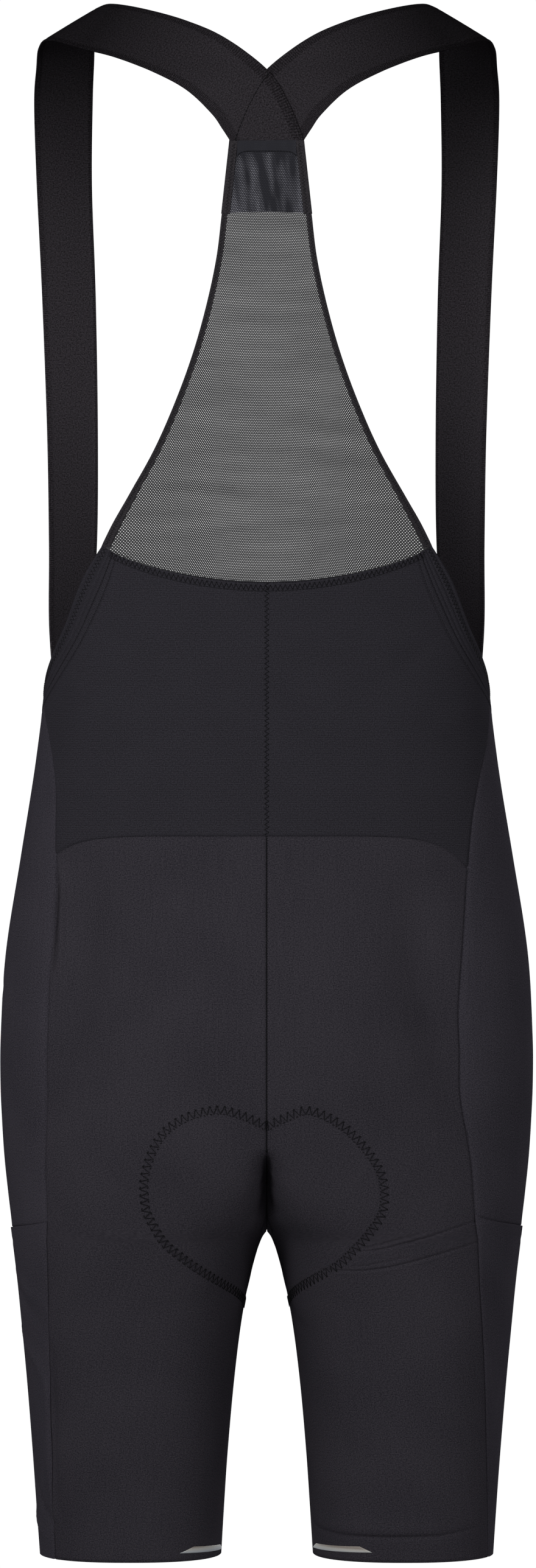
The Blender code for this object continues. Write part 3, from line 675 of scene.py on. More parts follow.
# ---------------------------------------------------------------- fronts
# The front of each leg and half of the belly are one piece of the knit, from the top edge's band
# to the hem. The two are sewn together down the middle, and to the backs inside the legs.
for side in (1, -1):
    def place(u, level):
        def angle_at(height):
            start = side_seam(height, side, front=True)
            start += turn_for(height, start, SEAM_GAP / 2)
            return blend(start, 180.0 - middle_angle(height), u)
        height, angle = hang_from_band(level, angle_at)
        dip = (seam_dip(u * PANEL) + seam_dip((1 - u) * PANEL)
               + tucked(FRONT_TOP - level - SEAM_TUCK))
        return keep_apart(lay(height, angle, side, dip), front=True)
    front = cloth("front_of_leg_" + NAME[side], stations(PANEL, 0.0036), leg_levels(FRONT_TOP),
                  place, KNIT, knit, side)
    sewn(front, "front_" + NAME[side])


# ---------------------------------------------------------------- lower back
# Two halves of a firmer ribbed knit hold the small of the back, between the mesh and the yoke
# seam, and are joined at the centre with a zigzag. Each ends at the armhole's band and the side.
MESH_FOOT = -0.4094        # height of the mesh's lower seam at the centre back
CORNER = 0.62              # how far down its side edge the armhole's band leaves it
RIB = 0.00125              # the rib's pitch
SMALL_OF_BACK = 0.18       # about how deep the panel is

rib, tree, face, spot = textile("ribbed_knit_polyamide", "18181b", 0.90, 0.0)
ribs = stripes(tree, spot, "Y", RIB)
grain = node(tree, "TexNoise", {"Vector": spot, "Scale": 1200.0, "Detail": 2.0})
cloud = node(tree, "TexNoise", {"Vector": spot, "Scale": 30.0, "Detail": 2.0})
mottle = node(tree, "Math", (ribs, 0.07, grain), operation='MULTIPLY_ADD')
mottle = node(tree, "Math", (cloud, 0.08, mottle), operation='MULTIPLY_ADD')
node(tree, "ValToRGB", (mottle,), stops=((0.36, "141316"), (0.74, "212024")),
     to=face["Base Color"])
height = node(tree, "Math", (ribs, 0.2, grain), operation='MULTIPLY_ADD')
node(tree, "Bump", {"Strength": 0.25, "Distance": 0.00020, "Height": height}, to=face["Normal"])

corner_part = band_part(SIDE_SEAMS[0][1])
corner_height = along(EDGE_BAND, corner_part, (3,))[0]
for side in (1, -1):
    def side_edge(v):
        """Angle and height down a half's outer edge, by the armhole's band and then the side."""
        if v <= CORNER:
            return along(EDGE_BAND, v / CORNER * corner_part, (2, 3))
        height = blend(corner_height, yoke_height(1, side), (v - CORNER) / (1 - CORNER))
        return side_seam(height, side), height

    def place(u, v):
        seam_angle, edge_height = side_edge(v)
        edge_angle = seam_angle + turn_for(edge_height, seam_angle, SIDE_TUCK)
        share = min(u * edge_angle / seam_angle, 1.0)
        middle = blend(MESH_FOOT, YOKE, v)
        top, foot = blend(middle, edge_height, share ** 2), blend(middle, edge_height, share ** 6)
        height = blend(top, foot, v) + SEAM_GAP / 2 * (2 * v - 1)
        dip = (0.6 * tucked((1 - u) * PANEL - SIDE_TUCK) + 0.12 * seam_dip(u * PANEL)
               + seam_dip(v * SMALL_OF_BACK) + seam_dip((1 - v) * SMALL_OF_BACK))
        return keep_apart(lay(height, u * edge_angle, side, dip))
    half = cloth("lower_back_" + NAME[side], stations(PANEL, 0.0032, BESIDE_SEAM),
                 stations(SMALL_OF_BACK, 0.0032), place, KNIT, rib, side)
    sewn(half, "back_waist_" + NAME[side])


# ---------------------------------------------------------------- edge bands
# The armholes and the top of the front are finished with a turned band: elastic folded into the
# knit and sewn down in rows, which leaves soft ridges between them, and a folded free edge.
BAND = 0.0016              # wall of the folded band
BAND_WIDTH = 0.0190
BAND_LENGTH = 0.46
BAND_GROOVES = (0.25, 0.42, 0.60, 0.86)   # where its rows of stitches pull it in
GROOVE_DEPTH = 0.00075
GROOVE_WIDTH = 0.030       # half a groove's width, as a part of the band's


def band_spot(u, v):
    """Height and angle on the edge band, across from its seam and along from the mesh's corner."""
    edge_turn, edge_height, seam_turn, seam_height = along(EDGE_BAND, v, range(4))
    return blend(seam_height, edge_height, u), blend(seam_turn, edge_turn, u)


for side in (1, -1):
    def place(u, v):
        sunk = sum(exp(-((u - groove) / GROOVE_WIDTH) ** 2) for groove in BAND_GROOVES)
        dip = 0.5 * seam_dip(u * BAND_WIDTH) - GROOVE_DEPTH * sunk + 0.0002
        dip -= 0.0006 * exp(-((1 - u) * BAND_WIDTH / 0.0007) ** 2)
        point = lay(*band_spot(u, v), side, dip)
        return Vector((max(point.x, 0.0), point.y, point.z))
    band = cloth("edge_band_" + NAME[side], stations(BAND_WIDTH, 0.0004, (0.0003, 0.0008)),
                 stations(BAND_LENGTH, 0.0034), place, BAND, rib, side, grain="along")
    sewn(band, "waist_band_" + NAME[side])


# ---------------------------------------------------------------- mesh back
# The upper back is one layer of black warp-knitted mesh, a lattice of round holes that a light
# ground shows through. Its long edges are bound, and its foot is sewn to the ribbed back.
MESH_TOP = -0.1548         # height of the seam between the tab and the mesh
MESH = 0.00020             # wall of the mesh
MESH_SET = 0.00030         # how far it lies inside its bindings' faces
MESH_TUCK = 0.0016         # how far its foot runs on under the lower back
MESH_CORNER = -0.3857      # height of its lower corners
HOLES = 0.00119            # from hole to hole along a row
HOLE_ROWS = 0.00114        # from row to row
ROW_BOW = 1.1              # how much the rows hang in the middle
SPREAD = 0.11              # how far out the mesh is stretched to twice its width
MESH_DEPTH = 0.25          # about how deep the mesh is
MESH_WIDTH = 0.18          # and how wide
UPPER_BACK = (
    # height, half the width over the bindings' outer edges, how wide a binding shows
    (-0.1548, 0.0312, 0.0040),
    (-0.1848, 0.0348, 0.0040),
    (-0.2177, 0.0417, 0.0041),
    (-0.2515, 0.0512, 0.0042),
    (-0.2850, 0.0635, 0.0044),
    (-0.3185, 0.0786, 0.0048),
    (-0.3520, 0.0978, 0.0057),
    (-0.3685, 0.1075, 0.0065),
    (-0.3840, 0.1154, 0.0066),
    (-0.3900, 0.1186, 0.0066),
)


def holes(tree, spot):
    """Waves across the map in three directions, which all stand high at the mesh's holes."""
    along_row = node(tree, "SeparateXYZ", (spot,), "X")
    down = node(tree, "SeparateXYZ", (spot,), "Y")
    bow = node(tree, "Math", (along_row, 2.0), operation='POWER')
    level = node(tree, "Math", (bow, ROW_BOW, down), operation='MULTIPLY_ADD')
    turn_x = node(tree, "Math", (along_row, 2 * pi / HOLES), operation='MULTIPLY')
    turn_y = node(tree, "Math", (level, pi / HOLE_ROWS), operation='MULTIPLY')
    double_y = node(tree, "Math", (turn_y, 2.0), operation='MULTIPLY')
    across, falling, rows = (node(tree, "Math", (turn,), operation='COSINE')
                             for turn in (turn_x, turn_y, double_y))
    slanted = node(tree, "Math", (across, falling), operation='MULTIPLY')
    return node(tree, "Math", (slanted, 2.0, rows), operation='MULTIPLY_ADD')


mesh_knit, tree, face, spot = textile("open_warp_knit_mesh", "1f1f20", 0.70, 0.12, 0.05, 0.4)
swags = node(tree, "Mapping", {"Vector": spot, "Scale": (0.16, 1.0, 1.0)})
uneven = node(tree, "TexNoise", {"Vector": swags, "Scale": 90.0, "Detail": 2.0})
opened = node(tree, "Math", (uneven, 0.9, holes(tree, spot)), operation='MULTIPLY_ADD')
cloth_there = node(tree, "MapRange", (opened, 2.07, 2.47, 1.0, 0.0), to=face["Alpha"])
node(tree, "Bump", {"Strength": 0.5, "Distance": 0.0002, "Height": cloth_there},
     to=face["Normal"])


def lay_across(height, angle, proud):
    """A point of a piece that crosses the middle plane, where a turn to the right is below 0."""
    side = 1 if angle >= 0 else -1
    point = lay(height, abs(angle), side, proud)
    return Vector((side * point.x, point.y, point.z))


def mesh_foot_height(share):
    """The mesh's curved lower seam, from the centre back (0) to its corner (1)."""
    return MESH_FOOT + (MESH_CORNER - MESH_FOOT) * share ** 2


TAB_BOW = 0.0011           # how far the tab's foot bows up in the middle


def place(u, v):
    share = 2 * u - 1
    top = MESH_TOP + TAB_BOW * (1 - share ** 2)
    height = blend(top, mesh_foot_height(abs(share)) - MESH_TUCK, v)
    edge_height = blend(MESH_TOP, MESH_CORNER, v)
    half = smooth(UPPER_BACK, edge_height, 1) - 0.0010
    edge = min(angle_of(edge_height, half), EDGE_BAND[0][0] - 0.4)
    dip = -MESH_SET - 0.0003 * exp(-((1 - v) * MESH_DEPTH / 0.0030) ** 2)
    return lay_across(height, share * edge, dip)


mesh_back = cloth("mesh_back", stations(MESH_WIDTH, 0.0035), stations(MESH_DEPTH, 0.0035), place,
                  MESH, mesh_knit)
for loop, spot in zip(mesh_back.data.loops, mesh_back.data.uv_layers["cloth"].data):
    where = mesh_back.data.vertices[loop.vertex_index].co
    spot.uv.x = SPREAD * atan2(where.x, SPREAD)
sewn(mesh_back, "back_mesh")


# ---------------------------------------------------------------- mesh bindings
# A tape of woven elastic is folded round each long edge of the mesh, one layer outside and one
# inside, and sewn through with a narrow zigzag.
TAPE = 0.00050             # wall of one layer of the tape
TAPE_PROUD = 0.00030       # how far the outer layer's face stands off the form
FOLD = 0.00080             # radius of the fold
BINDING_TUCK = 0.0030      # how far its foot runs on under the edge band
WEFT = 0.00085             # the elastic's weft and warp, drawn about twice as coarse as real
WARP = 0.00110             # to show at all


def weave(tree, spot, share):
    """The weave of an elastic, as a share of its fibres' fleck."""
    crossed = node(tree, "Math", (stripes(tree, spot, "Y", WEFT), stripes(tree, spot, "X", WARP)),
                   operation='MULTIPLY')
    fibre = node(tree, "TexNoise", {"Vector": spot, "Scale": 1000.0, "Detail": 3.0})
    return node(tree, "Math", (crossed, share, fibre), operation='MULTIPLY_ADD')


# Woven polyester over rubber: matt, with a fine crossed grain.
elastic, tree, face, spot = textile("woven_elastic", "1b1a1c", 0.90, 0.0)
mottle = weave(tree, spot, 0.16)
node(tree, "ValToRGB", (mottle,), stops=((0.32, "131214"), (0.75, "262426")),
     to=face["Base Color"])
node(tree, "Bump", {"Strength": 0.35, "Distance": 0.00022, "Height": mottle}, to=face["Normal"])


def folded(u, width):
    """Across a folded tape's outer face from end to end, as the distance in from the edge and
    the height over the form."""
    flat, turn = width - FOLD, pi * FOLD
    spot = u * (2 * flat + turn)
    if spot < flat:
        return width - spot, TAPE_PROUD
    if spot < flat + turn:
        bend = (spot - flat) / FOLD
        return FOLD - FOLD * sin(bend), TAPE_PROUD - FOLD + FOLD * cos(bend)
    return FOLD + spot - flat - turn, TAPE_PROUD - 2 * FOLD


def lay_beside(height, x, side, proud):
    """A point of the cloth laid on the back of the form, at a distance from the middle plane."""
    return lay(height, angle_of(height, x), side, proud)


for side in (1, -1):
    def place(u, v):
        height = blend(MESH_TOP, EDGE_BAND[0][1] - BINDING_TUCK, v)
        inwards, proud = folded(u, smooth(UPPER_BACK, height, 2))
        proud -= 0.0010 * fall_away((height - EDGE_BAND[0][1] + BINDING_TUCK) / 0.0050)
        return lay_beside(height, smooth(UPPER_BACK, height, 1) - inwards, side, proud)
    tape = cloth("mesh_binding_tape_" + NAME[side], even(22), stations(MESH_DEPTH, 0.0035),
                 place, TAPE, elastic, side, grain="along")
    sewn(tape, "mesh_binding_" + NAME[side])


# ---------------------------------------------------------------- tab
# Two layers of the mesh between the straps' ends and the mesh back, close enough to look solid and
# a little shiny, the shine being painted light in its colour, with a taped edge on each side and a
# bar across the top.
TAB_TOP = -0.1048          # height of the seam between the straps and the tab
TAB_HALF_TOP = 0.0262      # half its width at the straps
TAB_HALF_FOOT = 0.0316     # half its width at the mesh
TAB_TAPE = 0.0060          # how wide its side tapes show
TAB_BAR = 0.0068           # how deep the bar is in the middle
BAR_LAP = 0.0014           # how far the bar and the tapes lap over the straps' ends
BAR_LIFT = 0.0005          # and how far they rise to do so
TAB_DEPTH = 0.05           # about how deep the tab is
TAB_WIDTH = 0.055          # and how wide
TAB_WALL = 0.0007          # its two layers together
TAB_EDGE = 0.0010          # how far its mesh ends inside its tapes' folds
BAR_WIDTH = 0.042
BAR_ENDS = 0.0032          # how much deeper the bar is at its ends

# Two layers of the mesh over each other, dark, with painted light in the colour: paler dots and
# streaks where light would come through the holes, lighter towards the foot and most of all at the
# sides.
tab_mesh, tree, face, spot = textile("double_mesh", "27272c", 0.90, 0.0)
# painted light through the holes: streaks, lighter towards the tab's foot and at its sides
drawn_out = node(tree, "Mapping", {"Vector": spot, "Scale": (1.0, 0.20, 1.0)})
painted_light_streaks = node(tree, "TexNoise", {"Vector": drawn_out, "Scale": 150.0, "Detail": 1.0})
rise = node(tree, "SeparateXYZ", (spot,), "Y")
down = node(tree, "MapRange", (rise, TAB_TOP - TAB_BAR, MESH_TOP, -0.12, 0.07))
across = node(tree, "SeparateXYZ", (spot,), "X")
off_middle = node(tree, "Math", (across, TAB_HALF_TOP + 0.002), operation='SUBTRACT')
off_middle = node(tree, "Math", (off_middle,), operation='ABSOLUTE')
painted_light_at_sides = node(tree, "MapRange", (off_middle, 0.012, 0.024, 0.0, 0.17))
painted_light_through = node(tree, "Math", (painted_light_streaks, down), operation='ADD')
painted_light_through = node(tree, "Math", (painted_light_through, painted_light_at_sides), operation='ADD')
painted_light_through = node(tree, "MapRange", (painted_light_through, 0.40, 0.74, 0.06, 1.0))
# painted light: bright dots where the two layers' holes line up
painted_light_dots = node(tree, "MapRange", (holes(tree, spot), 0.1, 2.3, 0.0, 1.0))
mottle = node(tree, "Math", (painted_light_through, painted_light_dots), operation='MULTIPLY')
node(tree, "ValToRGB", (mottle,), stops=((0.0, "151518"), (1.0, "6c6c72")),
     to=face["Base Color"])
node(tree, "Bump", {"Strength": 0.6, "Distance": 0.0002, "Height": mottle}, to=face["Normal"])

# the bar over it is the same mesh folded double again, so that nothing shines through: the same
# nodes, with their painted light held in a narrow dark range
bar_mesh = in_other_tones(tab_mesh, "folded_mesh", "19191c", "28282d")


def lap_lift(height):
    """How far the bar and the tapes rise where they lap over the straps' ends."""
    return BAR_LIFT * fall_away((TAB_TOP + BAR_LAP - height) / 0.0040)


def tab_half(height):
    """Half the tab's width over its tapes' outer edges."""
    return blend(TAB_HALF_TOP, TAB_HALF_FOOT, (TAB_TOP - height) / (TAB_TOP - MESH_TOP))


def tab_foot(share):
    """The tab's lower seam, bowed up a little in the middle."""
    return MESH_TOP + SEAM_GAP + TAB_BOW * (1 - share ** 2)


def place(u, v):
    share = 2 * u - 1
    height = blend(TAB_TOP - SEAM_GAP, tab_foot(share), v)
    fold = 0.00030 * cos(share * 9.0 + 0.5) * sin(pi * v) ** 0.5
    return lay_across(height, angle_of(height, (tab_half(height) - TAB_EDGE) * share),
                      fold - MESH_SET)


tab = cloth("tab_double_mesh", stations(TAB_WIDTH, 0.0016), stations(TAB_DEPTH, 0.0016), place,
            TAB_WALL, tab_mesh)
for side in (1, -1):
    def place(u, v):
        height = blend(TAB_TOP + BAR_LAP, MESH_TOP + SEAM_GAP, v)
        inwards, proud = folded(u, TAB_TAPE)
        return lay_beside(height, tab_half(height) - inwards, side, proud + lap_lift(height))
    tape = cloth("tab_tape_" + NAME[side], even(26), stations(TAB_DEPTH, 0.0016), place, TAPE,
                 elastic, side, grain="along")
    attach(tape, "root")


def place(u, v):
    share = 2 * u - 1
    half = TAB_HALF_TOP - TAB_TAPE + 0.0003
    foot = TAB_TOP - TAB_BAR - BAR_ENDS * share ** 8
    height = blend(TAB_TOP + BAR_LAP, foot, v)
    rim = lap_lift(height) - 0.0003 * exp(-((1 - v) * TAB_BAR / 0.0005) ** 2)
    return lay_across(height, angle_of(height, half * share), TAPE_PROUD + rim)


bar = cloth("tab_bar", stations(BAR_WIDTH, 0.0012), stations(TAB_BAR, 0.0008, (0.0003, 0.0008)),
            place, TAPE, bar_mesh)
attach(bar, "root")
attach(tab, "root")
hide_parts("back_tab")


# ---------------------------------------------------------------- shoulder straps
# Flat woven elastic 41 mm wide, with a firmer woven edge. Each runs from the front's top edge
# over the shoulder to the tab, and the left one crosses over the right one there.
WEBBING = 0.0014           # wall of the elastic
STRAP_WIDTH = 0.041
STRAP_EDGE = 0.0026        # how wide its woven edges are
EDGE_RIB = 0.0015          # the pitch of the ribs in them
STRAP_LENGTH = 0.68
LEFT_OVER_RIGHT = 0.0018   # how far the left strap stands over the right where they cross
CROSSING_X = 0.040         # the left strap is fully over the right inside this distance
STRAP_END_SINK = 0.0018    # how far both are pressed in where the bar is sewn over them
STRAP_SETTLES = -0.035     # the height under which the straps lie on the form
STRAP = (
    # inner edge's x, y and z, and outer edge's x, y and z, from the front end to the tab
    (0.1290, -0.0590, -0.5080, 0.1500, -0.0260, -0.4990),
    (0.1270, -0.0760, -0.4400, 0.1553, -0.0460, -0.4400),
    (0.1226, -0.0880, -0.3800, 0.1560, -0.0630, -0.3800),
    (0.1219, -0.0980, -0.3000, 0.1577, -0.0780, -0.3000),
    (0.1233, -0.1000, -0.2000, 0.1615, -0.0840, -0.2000),
    (0.1257, -0.0890, -0.1200, 0.1651, -0.0760, -0.1200),
    (0.1245, -0.0660, -0.0600, 0.1663, -0.0580, -0.0640),
    (0.1228, -0.0440, -0.0270, 0.1642, -0.0400, -0.0400),
    (0.1236, -0.0200, -0.0050, 0.1618, -0.0180, -0.0275),
    (0.1165, 0.0060, -0.0007, 0.1540, 0.0080, -0.0250),
    (0.1060, 0.0200, -0.0010, 0.1300, 0.0320, -0.0336),
    (0.0830, 0.0370, -0.0070, 0.1065, 0.0490, -0.0415),
    (0.0560, 0.0515, -0.0164, 0.0805, 0.0625, -0.0530),
    (0.0290, 0.0620, -0.0296, 0.0560, 0.0735, -0.0673),
    (0.0000, 0.0715, -0.0522, 0.0385, 0.0815, -0.0843),
    (-0.0150, 0.0790, -0.0760, 0.0310, 0.0850, -0.0951),
    (-0.0262, 0.0860, -0.1045, 0.0250, 0.0868, -0.1045),
)


# The same elastic, and the ribs of its woven edges run across. Along its run its colour is
# darkened by painted shade, darkest where it turns over the shoulder and lifting a little towards
# the tab.
webbing, tree, face, spot = textile("strap_webbing", "1b1a1c", 0.90, 0.0)
edge_starts = STRAP_WIDTH / 2 - STRAP_EDGE
across = node(tree, "SeparateXYZ", (spot,), "X")
from_middle = node(tree, "Math", (across,), operation='ABSOLUTE')
edge = node(tree, "MapRange", (from_middle, edge_starts - 0.0004, edge_starts + 0.0004, 0.0, 1.0))
rungs = node(tree, "Math", (stripes(tree, spot, "Y", EDGE_RIB), 0.09, -0.09),
             operation='MULTIPLY_ADD')
mottle = node(tree, "Math", (edge, rungs, weave(tree, spot, 0.08)), operation='MULTIPLY_ADD')
shade = node(tree, "ValToRGB", (mottle,), stops=((0.30, "151315"), (0.75, "353236")))
# painted shade along the strap's run: a ramp of shares that darkens the colour most over the
# shoulder
run = node(tree, "SeparateXYZ", (spot,), "Y")
run = node(tree, "MapRange", (run, 0.0, -STRAP_LENGTH, 0.0, 1.0))
painted_shade_along_run = node(tree, "ValToRGB", (run,),
             stops=((0.0, 0.95), (0.35, 0.88), (0.55, 0.60), (0.68, 0.26), (0.84, 0.21),
                    (0.92, 0.39), (1.0, 0.54)))
node(tree, "Mix", {0: 1.0, 6: shade, 7: painted_shade_along_run}, 2, to=face["Base Color"], data_type='RGBA',
     blend_type='MULTIPLY')
node(tree, "Bump", {"Strength": 0.35, "Distance": 0.00022, "Height": mottle}, to=face["Normal"])


def strap_point(u, v, side, proud=0.0):
    """A point of a strap's face, across from its inner edge and along from its front end."""
    row = along(STRAP, v, range(6))
    inner, outer = Vector(row[:3]), Vector(row[3:])
    point = inner.lerp(outer, u)
    if point.y > 0:
        settled = min(max((STRAP_SETTLES - point.z) / 0.015, 0.0), 1.0)
        on_back = skin(point.z, angle_of(point.z, point.x)).y
        point.y = blend(point.y, on_back, settled)
        if side > 0:
            point.y += LEFT_OVER_RIGHT * min(max(2.0 - inner.x / CROSSING_X, 0.0), 1.0)
    ahead = Vector(along(STRAP, min(v + 0.01, 1.0), range(3)))
    behind = Vector(along(STRAP, max(v - 0.01, 0.0), range(3)))
    way = (outer - inner).cross(ahead - behind).normalized()
    sewn_down = STRAP_END_SINK * fall_away((1 - v) * STRAP_LENGTH / 0.012)
    return point + (proud - sewn_down) * way


def strap_swell(u):
    """The strap's face is a little crowned, and a shallow groove sets off each woven edge."""
    from_edge = min(u, 1 - u) * STRAP_WIDTH
    return (-0.00034 * exp(-((from_edge - STRAP_EDGE) / 0.0005) ** 2)
            - 0.00030 * exp(-(from_edge / 0.0005) ** 2) + 0.0002 * sin(pi * u))


for side in (1, -1):
    def place(u, v):
        return strap_point(u, v, side, strap_swell(u))
    strap = cloth("shoulder_strap_" + NAME[side],
                  stations(STRAP_WIDTH, 0.0016, (0.0004, 0.0012, 0.0021, 0.0026, 0.0031, 0.0037)),
                  stations(STRAP_LENGTH, 0.0042), place, WEBBING, webbing, side, grain="along")
    sewn(strap, "strap_" + NAME[side])


# ---------------------------------------------------------------- seat pad
# The pad is moulded foam under a knit face, in one piece from the back through the crotch to the
# front, and sewn in round its rim. It folds with the seat, and only shows from inside.
PAD = 0.0070               # its thickness in the middle
PAD_RIM = 0.25             # its rim's part of that
PAD_LIFT = 0.0034          # how far its middle line stands off the crotch seam
PAD_STANDOFF = 0.0038      # between the form and the pad's outer face, less the knit
PAD_OUTLINE = (
    # height of its middle line, and its outline's angle and height
    (-0.7860, 12.0, -0.7863),
    (-0.8080, 16.0, -0.8162),
    (-0.8280, 8.0, -0.8455),
    (-0.8440, -8.0, -0.8753),
    (-0.8570, -32.0, -0.9050),
    (CROTCH, -90.0, -0.9360),
    (-0.8570, -148.0, -0.9050),
    (-0.8440, -168.0, -0.8800),
    (-0.8280, -180.0, -0.8480),
    (-0.8080, -187.0, -0.8180),
    (-0.7860, -185.0, -0.7880),
)
PAD_ACROSS = 40            # its grid's columns
PAD_ALONG = 72             # and rows

# Polyurethane foam under a thin knit: matt, with a shallow dimple over each of the foam's cells.
foam, tree, face, spot = textile("foam_under_knit", "3c3c42", 0.9, 0.05, 0.05, 0.5)
dimple = node(tree, "TexVoronoi", {"Vector": spot, "Scale": 240.0})
node(tree, "ValToRGB", (dimple,), stops=((0.0, "333338"), (1.0, "44444b")),
     to=face["Base Color"])
node(tree, "Bump", {"Strength": 0.5, "Distance": 0.0006, "Height": dimple}, to=face["Normal"])


def pad_line(v, share):
    """Height and angle at a part of the way out from the pad's middle line."""
    middle, outline_angle, outline_height = along(PAD_OUTLINE, v, (0, 1, 2))
    middle = max(middle, CROTCH)
    middle_turn = middle_angle(middle) if v <= 0.5 else -180.0 - middle_angle(middle)
    return blend(middle, outline_height, share), blend(middle_turn, outline_angle, share)


def place(u, v):
    share = 2 * u - 1
    height, angle = pad_line(v, abs(share))
    flat = skin(height, angle)
    sink = min(relief(flat, 1 if share >= 0 else -1), 0.0)
    if abs(share) > 0.01:
        way = outward(height, angle)
        way.x *= min(flat.x / MIDDLE_REACH, 1.0)
        point = flat + (sink - KNIT - PAD_STANDOFF) * way
        return Vector((point.x if share > 0 else -point.x, point.y, point.z))
    before, after = (skin(*pad_line(min(max(near, 0.0), 1.0), 0.0))
                     for near in (v - 0.02, v + 0.02))
    run = (after - before).normalized()
    parting = abs(sin(radians(middle_angle(height))))
    lift = KNIT + PAD_STANDOFF + PAD_LIFT * parting - sink
    point = flat + lift * Vector((0, run.z, -run.y))
    return Vector((0, point.y, point.z))


seat_pad = cloth("seat_pad_foam", even(PAD_ACROSS), even(PAD_ALONG), place, PAD, foam)
group = seat_pad.vertex_groups.new(name="fullness")
for index in range((PAD_ACROSS + 1) * (PAD_ALONG + 1)):
    row, column = divmod(index, PAD_ACROSS + 1)
    u, v = column / PAD_ACROSS, row / PAD_ALONG
    inside = min(u, 1 - u, v, 1 - v)
    group.add([index], PAD_RIM + (1 - PAD_RIM) * min(inside * 4, 1.0), 'REPLACE')
seat_pad.modifiers["wall"].vertex_group = group.name
seat_pad.modifiers["wall"].thickness_vertex_group = 0.0
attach(seat_pad, "root")
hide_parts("seat_pad")


# ---------------------------------------------------------------- cargo pockets
# Each pocket is a second layer of the knit on the side panel, caught in both side seams and the
# hem. Its mouth is turned and sewn, and stands a little open.
POCKET_BULGE = 0.0008      # how far the mouth stands off the leg
POCKET_MOUTH_REACH = 0.060 # how far down the mouth's bulge fades out
POCKET_INSET = 0.0002      # from the side seams to the pocket's edges
MOUTH_HEM = 0.0095         # how deep the turned edge is
MOUTH_GROOVE = 0.00025     # how far its row of stitches sinks
POCKET_DEPTH = 0.235       # about how deep a pocket is

for side in (1, -1):
    def place(u, v):
        mouth = mouth_height(u, side)
        height = blend(mouth, HEM, v)
        back, front = side_seam(height, side), side_seam(height, side, front=True)
        back += turn_for(height, back, POCKET_INSET)
        front -= turn_for(height, front, POCKET_INSET)
        down = mouth - height
        near_mouth = max(1 - down / POCKET_MOUTH_REACH, 0.0)
        proud = 0.0002 + POCKET_BULGE * near_mouth ** 2 * min(20 * u, 20 * (1 - u), 1.0)
        proud += side_dip(u * STRIP, height, side) + seam_dip((1 - u) * STRIP)
        proud -= MOUTH_GROOVE * exp(-((down - MOUTH_HEM) / 0.0008) ** 2)
        return lay(height, blend(back, front, u), side, proud)
    pocket = cloth("cargo_pocket_" + NAME[side], stations(STRIP, 0.0032),
                   stations(POCKET_DEPTH, 0.0030), place, KNIT, side_knit, side)
    sewn(pocket, "pocket_" + NAME[side])


# ---------------------------------------------------------------- hem grippers
# A woven elastic tape runs round inside each hem, a little in from the knit, and holds the leg
# down. It is sewn in with the hem's turned edge.
GRIPPER_HEIGHT = 0.0185
GRIPPER_DEPTH = 0.0033     # from the form in to the tape's outer face

for side in (1, -1):
    def place(u, v):
        height = blend(HEM + GRIPPER_HEIGHT, HEM + 0.0004, v)
        return lay(height, 360 * u - 90, side, -GRIPPER_DEPTH)
    gripper = cloth("hem_gripper_" + NAME[side], even(96), even(6), place, KNIT, elastic, side,
                    joined=True)
    sewn(gripper, "gripper_" + NAME[side])


# ---------------------------------------------------------------- stitches
# Black polyester thread. Zigzags join the ribbed halves, hold the bands, tapes and the pad's
# edge, and let the seams stretch. Straight rows hold the straps, the bar and the turned edges.
THREAD = 0.00022           # half the thread's thickness
FINE_THREAD = 0.00014
SUNK_THREAD = 0.00012      # what shows of a thread that lies deep
MARK = 0.00024             # half the thickness of what a needle pulls in
SAMPLES = 500              # places along a line that its length is taken at

polyester = material("polyester_thread", "09090a", 0.80, 0.03)[0]


def every(spot, pitch):
    """Places along a line of stitches, a real pitch apart."""
    parts = even(SAMPLES)
    points = [spot(part, 0.0) for part in parts]
    reached = [0.0]
    for before, after in zip(points, points[1:]):
        reached.append(reached[-1] + (after - before).length)
    count = max(round(reached[-1] / pitch), 1)
    places, index = [], 0
    for i in range(count + 1):
        want = reached[-1] * i / count
        while index < SAMPLES - 1 and reached[index + 1] < want:
            index += 1
        share = (want - reached[index]) / max(reached[index + 1] - reached[index], 1e-9)
        places.append(blend(parts[index], parts[index + 1], min(share, 1.0)))
    return places


def zigzag(spot, width, pitch):
    """One run of thread from side to side of a line, with a point midway in each stroke."""
    places, run = every(spot, pitch / 2), []
    for i, part in enumerate(places):
        out = width / 2 * (1 if i % 2 else -1)
        run.append(spot(part, out))
        if i + 1 < len(places):
            run.append((spot(part, out) + spot(places[i + 1], -out)) / 2)
    return [run]


def ticks(spot, width, pitch):
    """Only the ends of a zigzag's strokes, where the needle pulls them into the cloth."""
    places, share = every(spot, pitch / 2), 0.16
    runs = []
    for i, (here, after) in enumerate(zip(places, places[1:])):
        out = width / 2 * (1 if i % 2 else -1)
        start, end = spot(here, out), spot(after, -out)
        runs += [[start, start.lerp(end, share)], [end.lerp(start, share), end]]
    return runs


def straight(spot, pitch):
    """Short stitches in a row, each three quarters of the pitch long."""
    places = every(spot, pitch)
    return [[spot(blend(here, after, part), 0.0) for part in (0.0, 0.4, 0.75)]
            for here, after in zip(places, places[1:])]


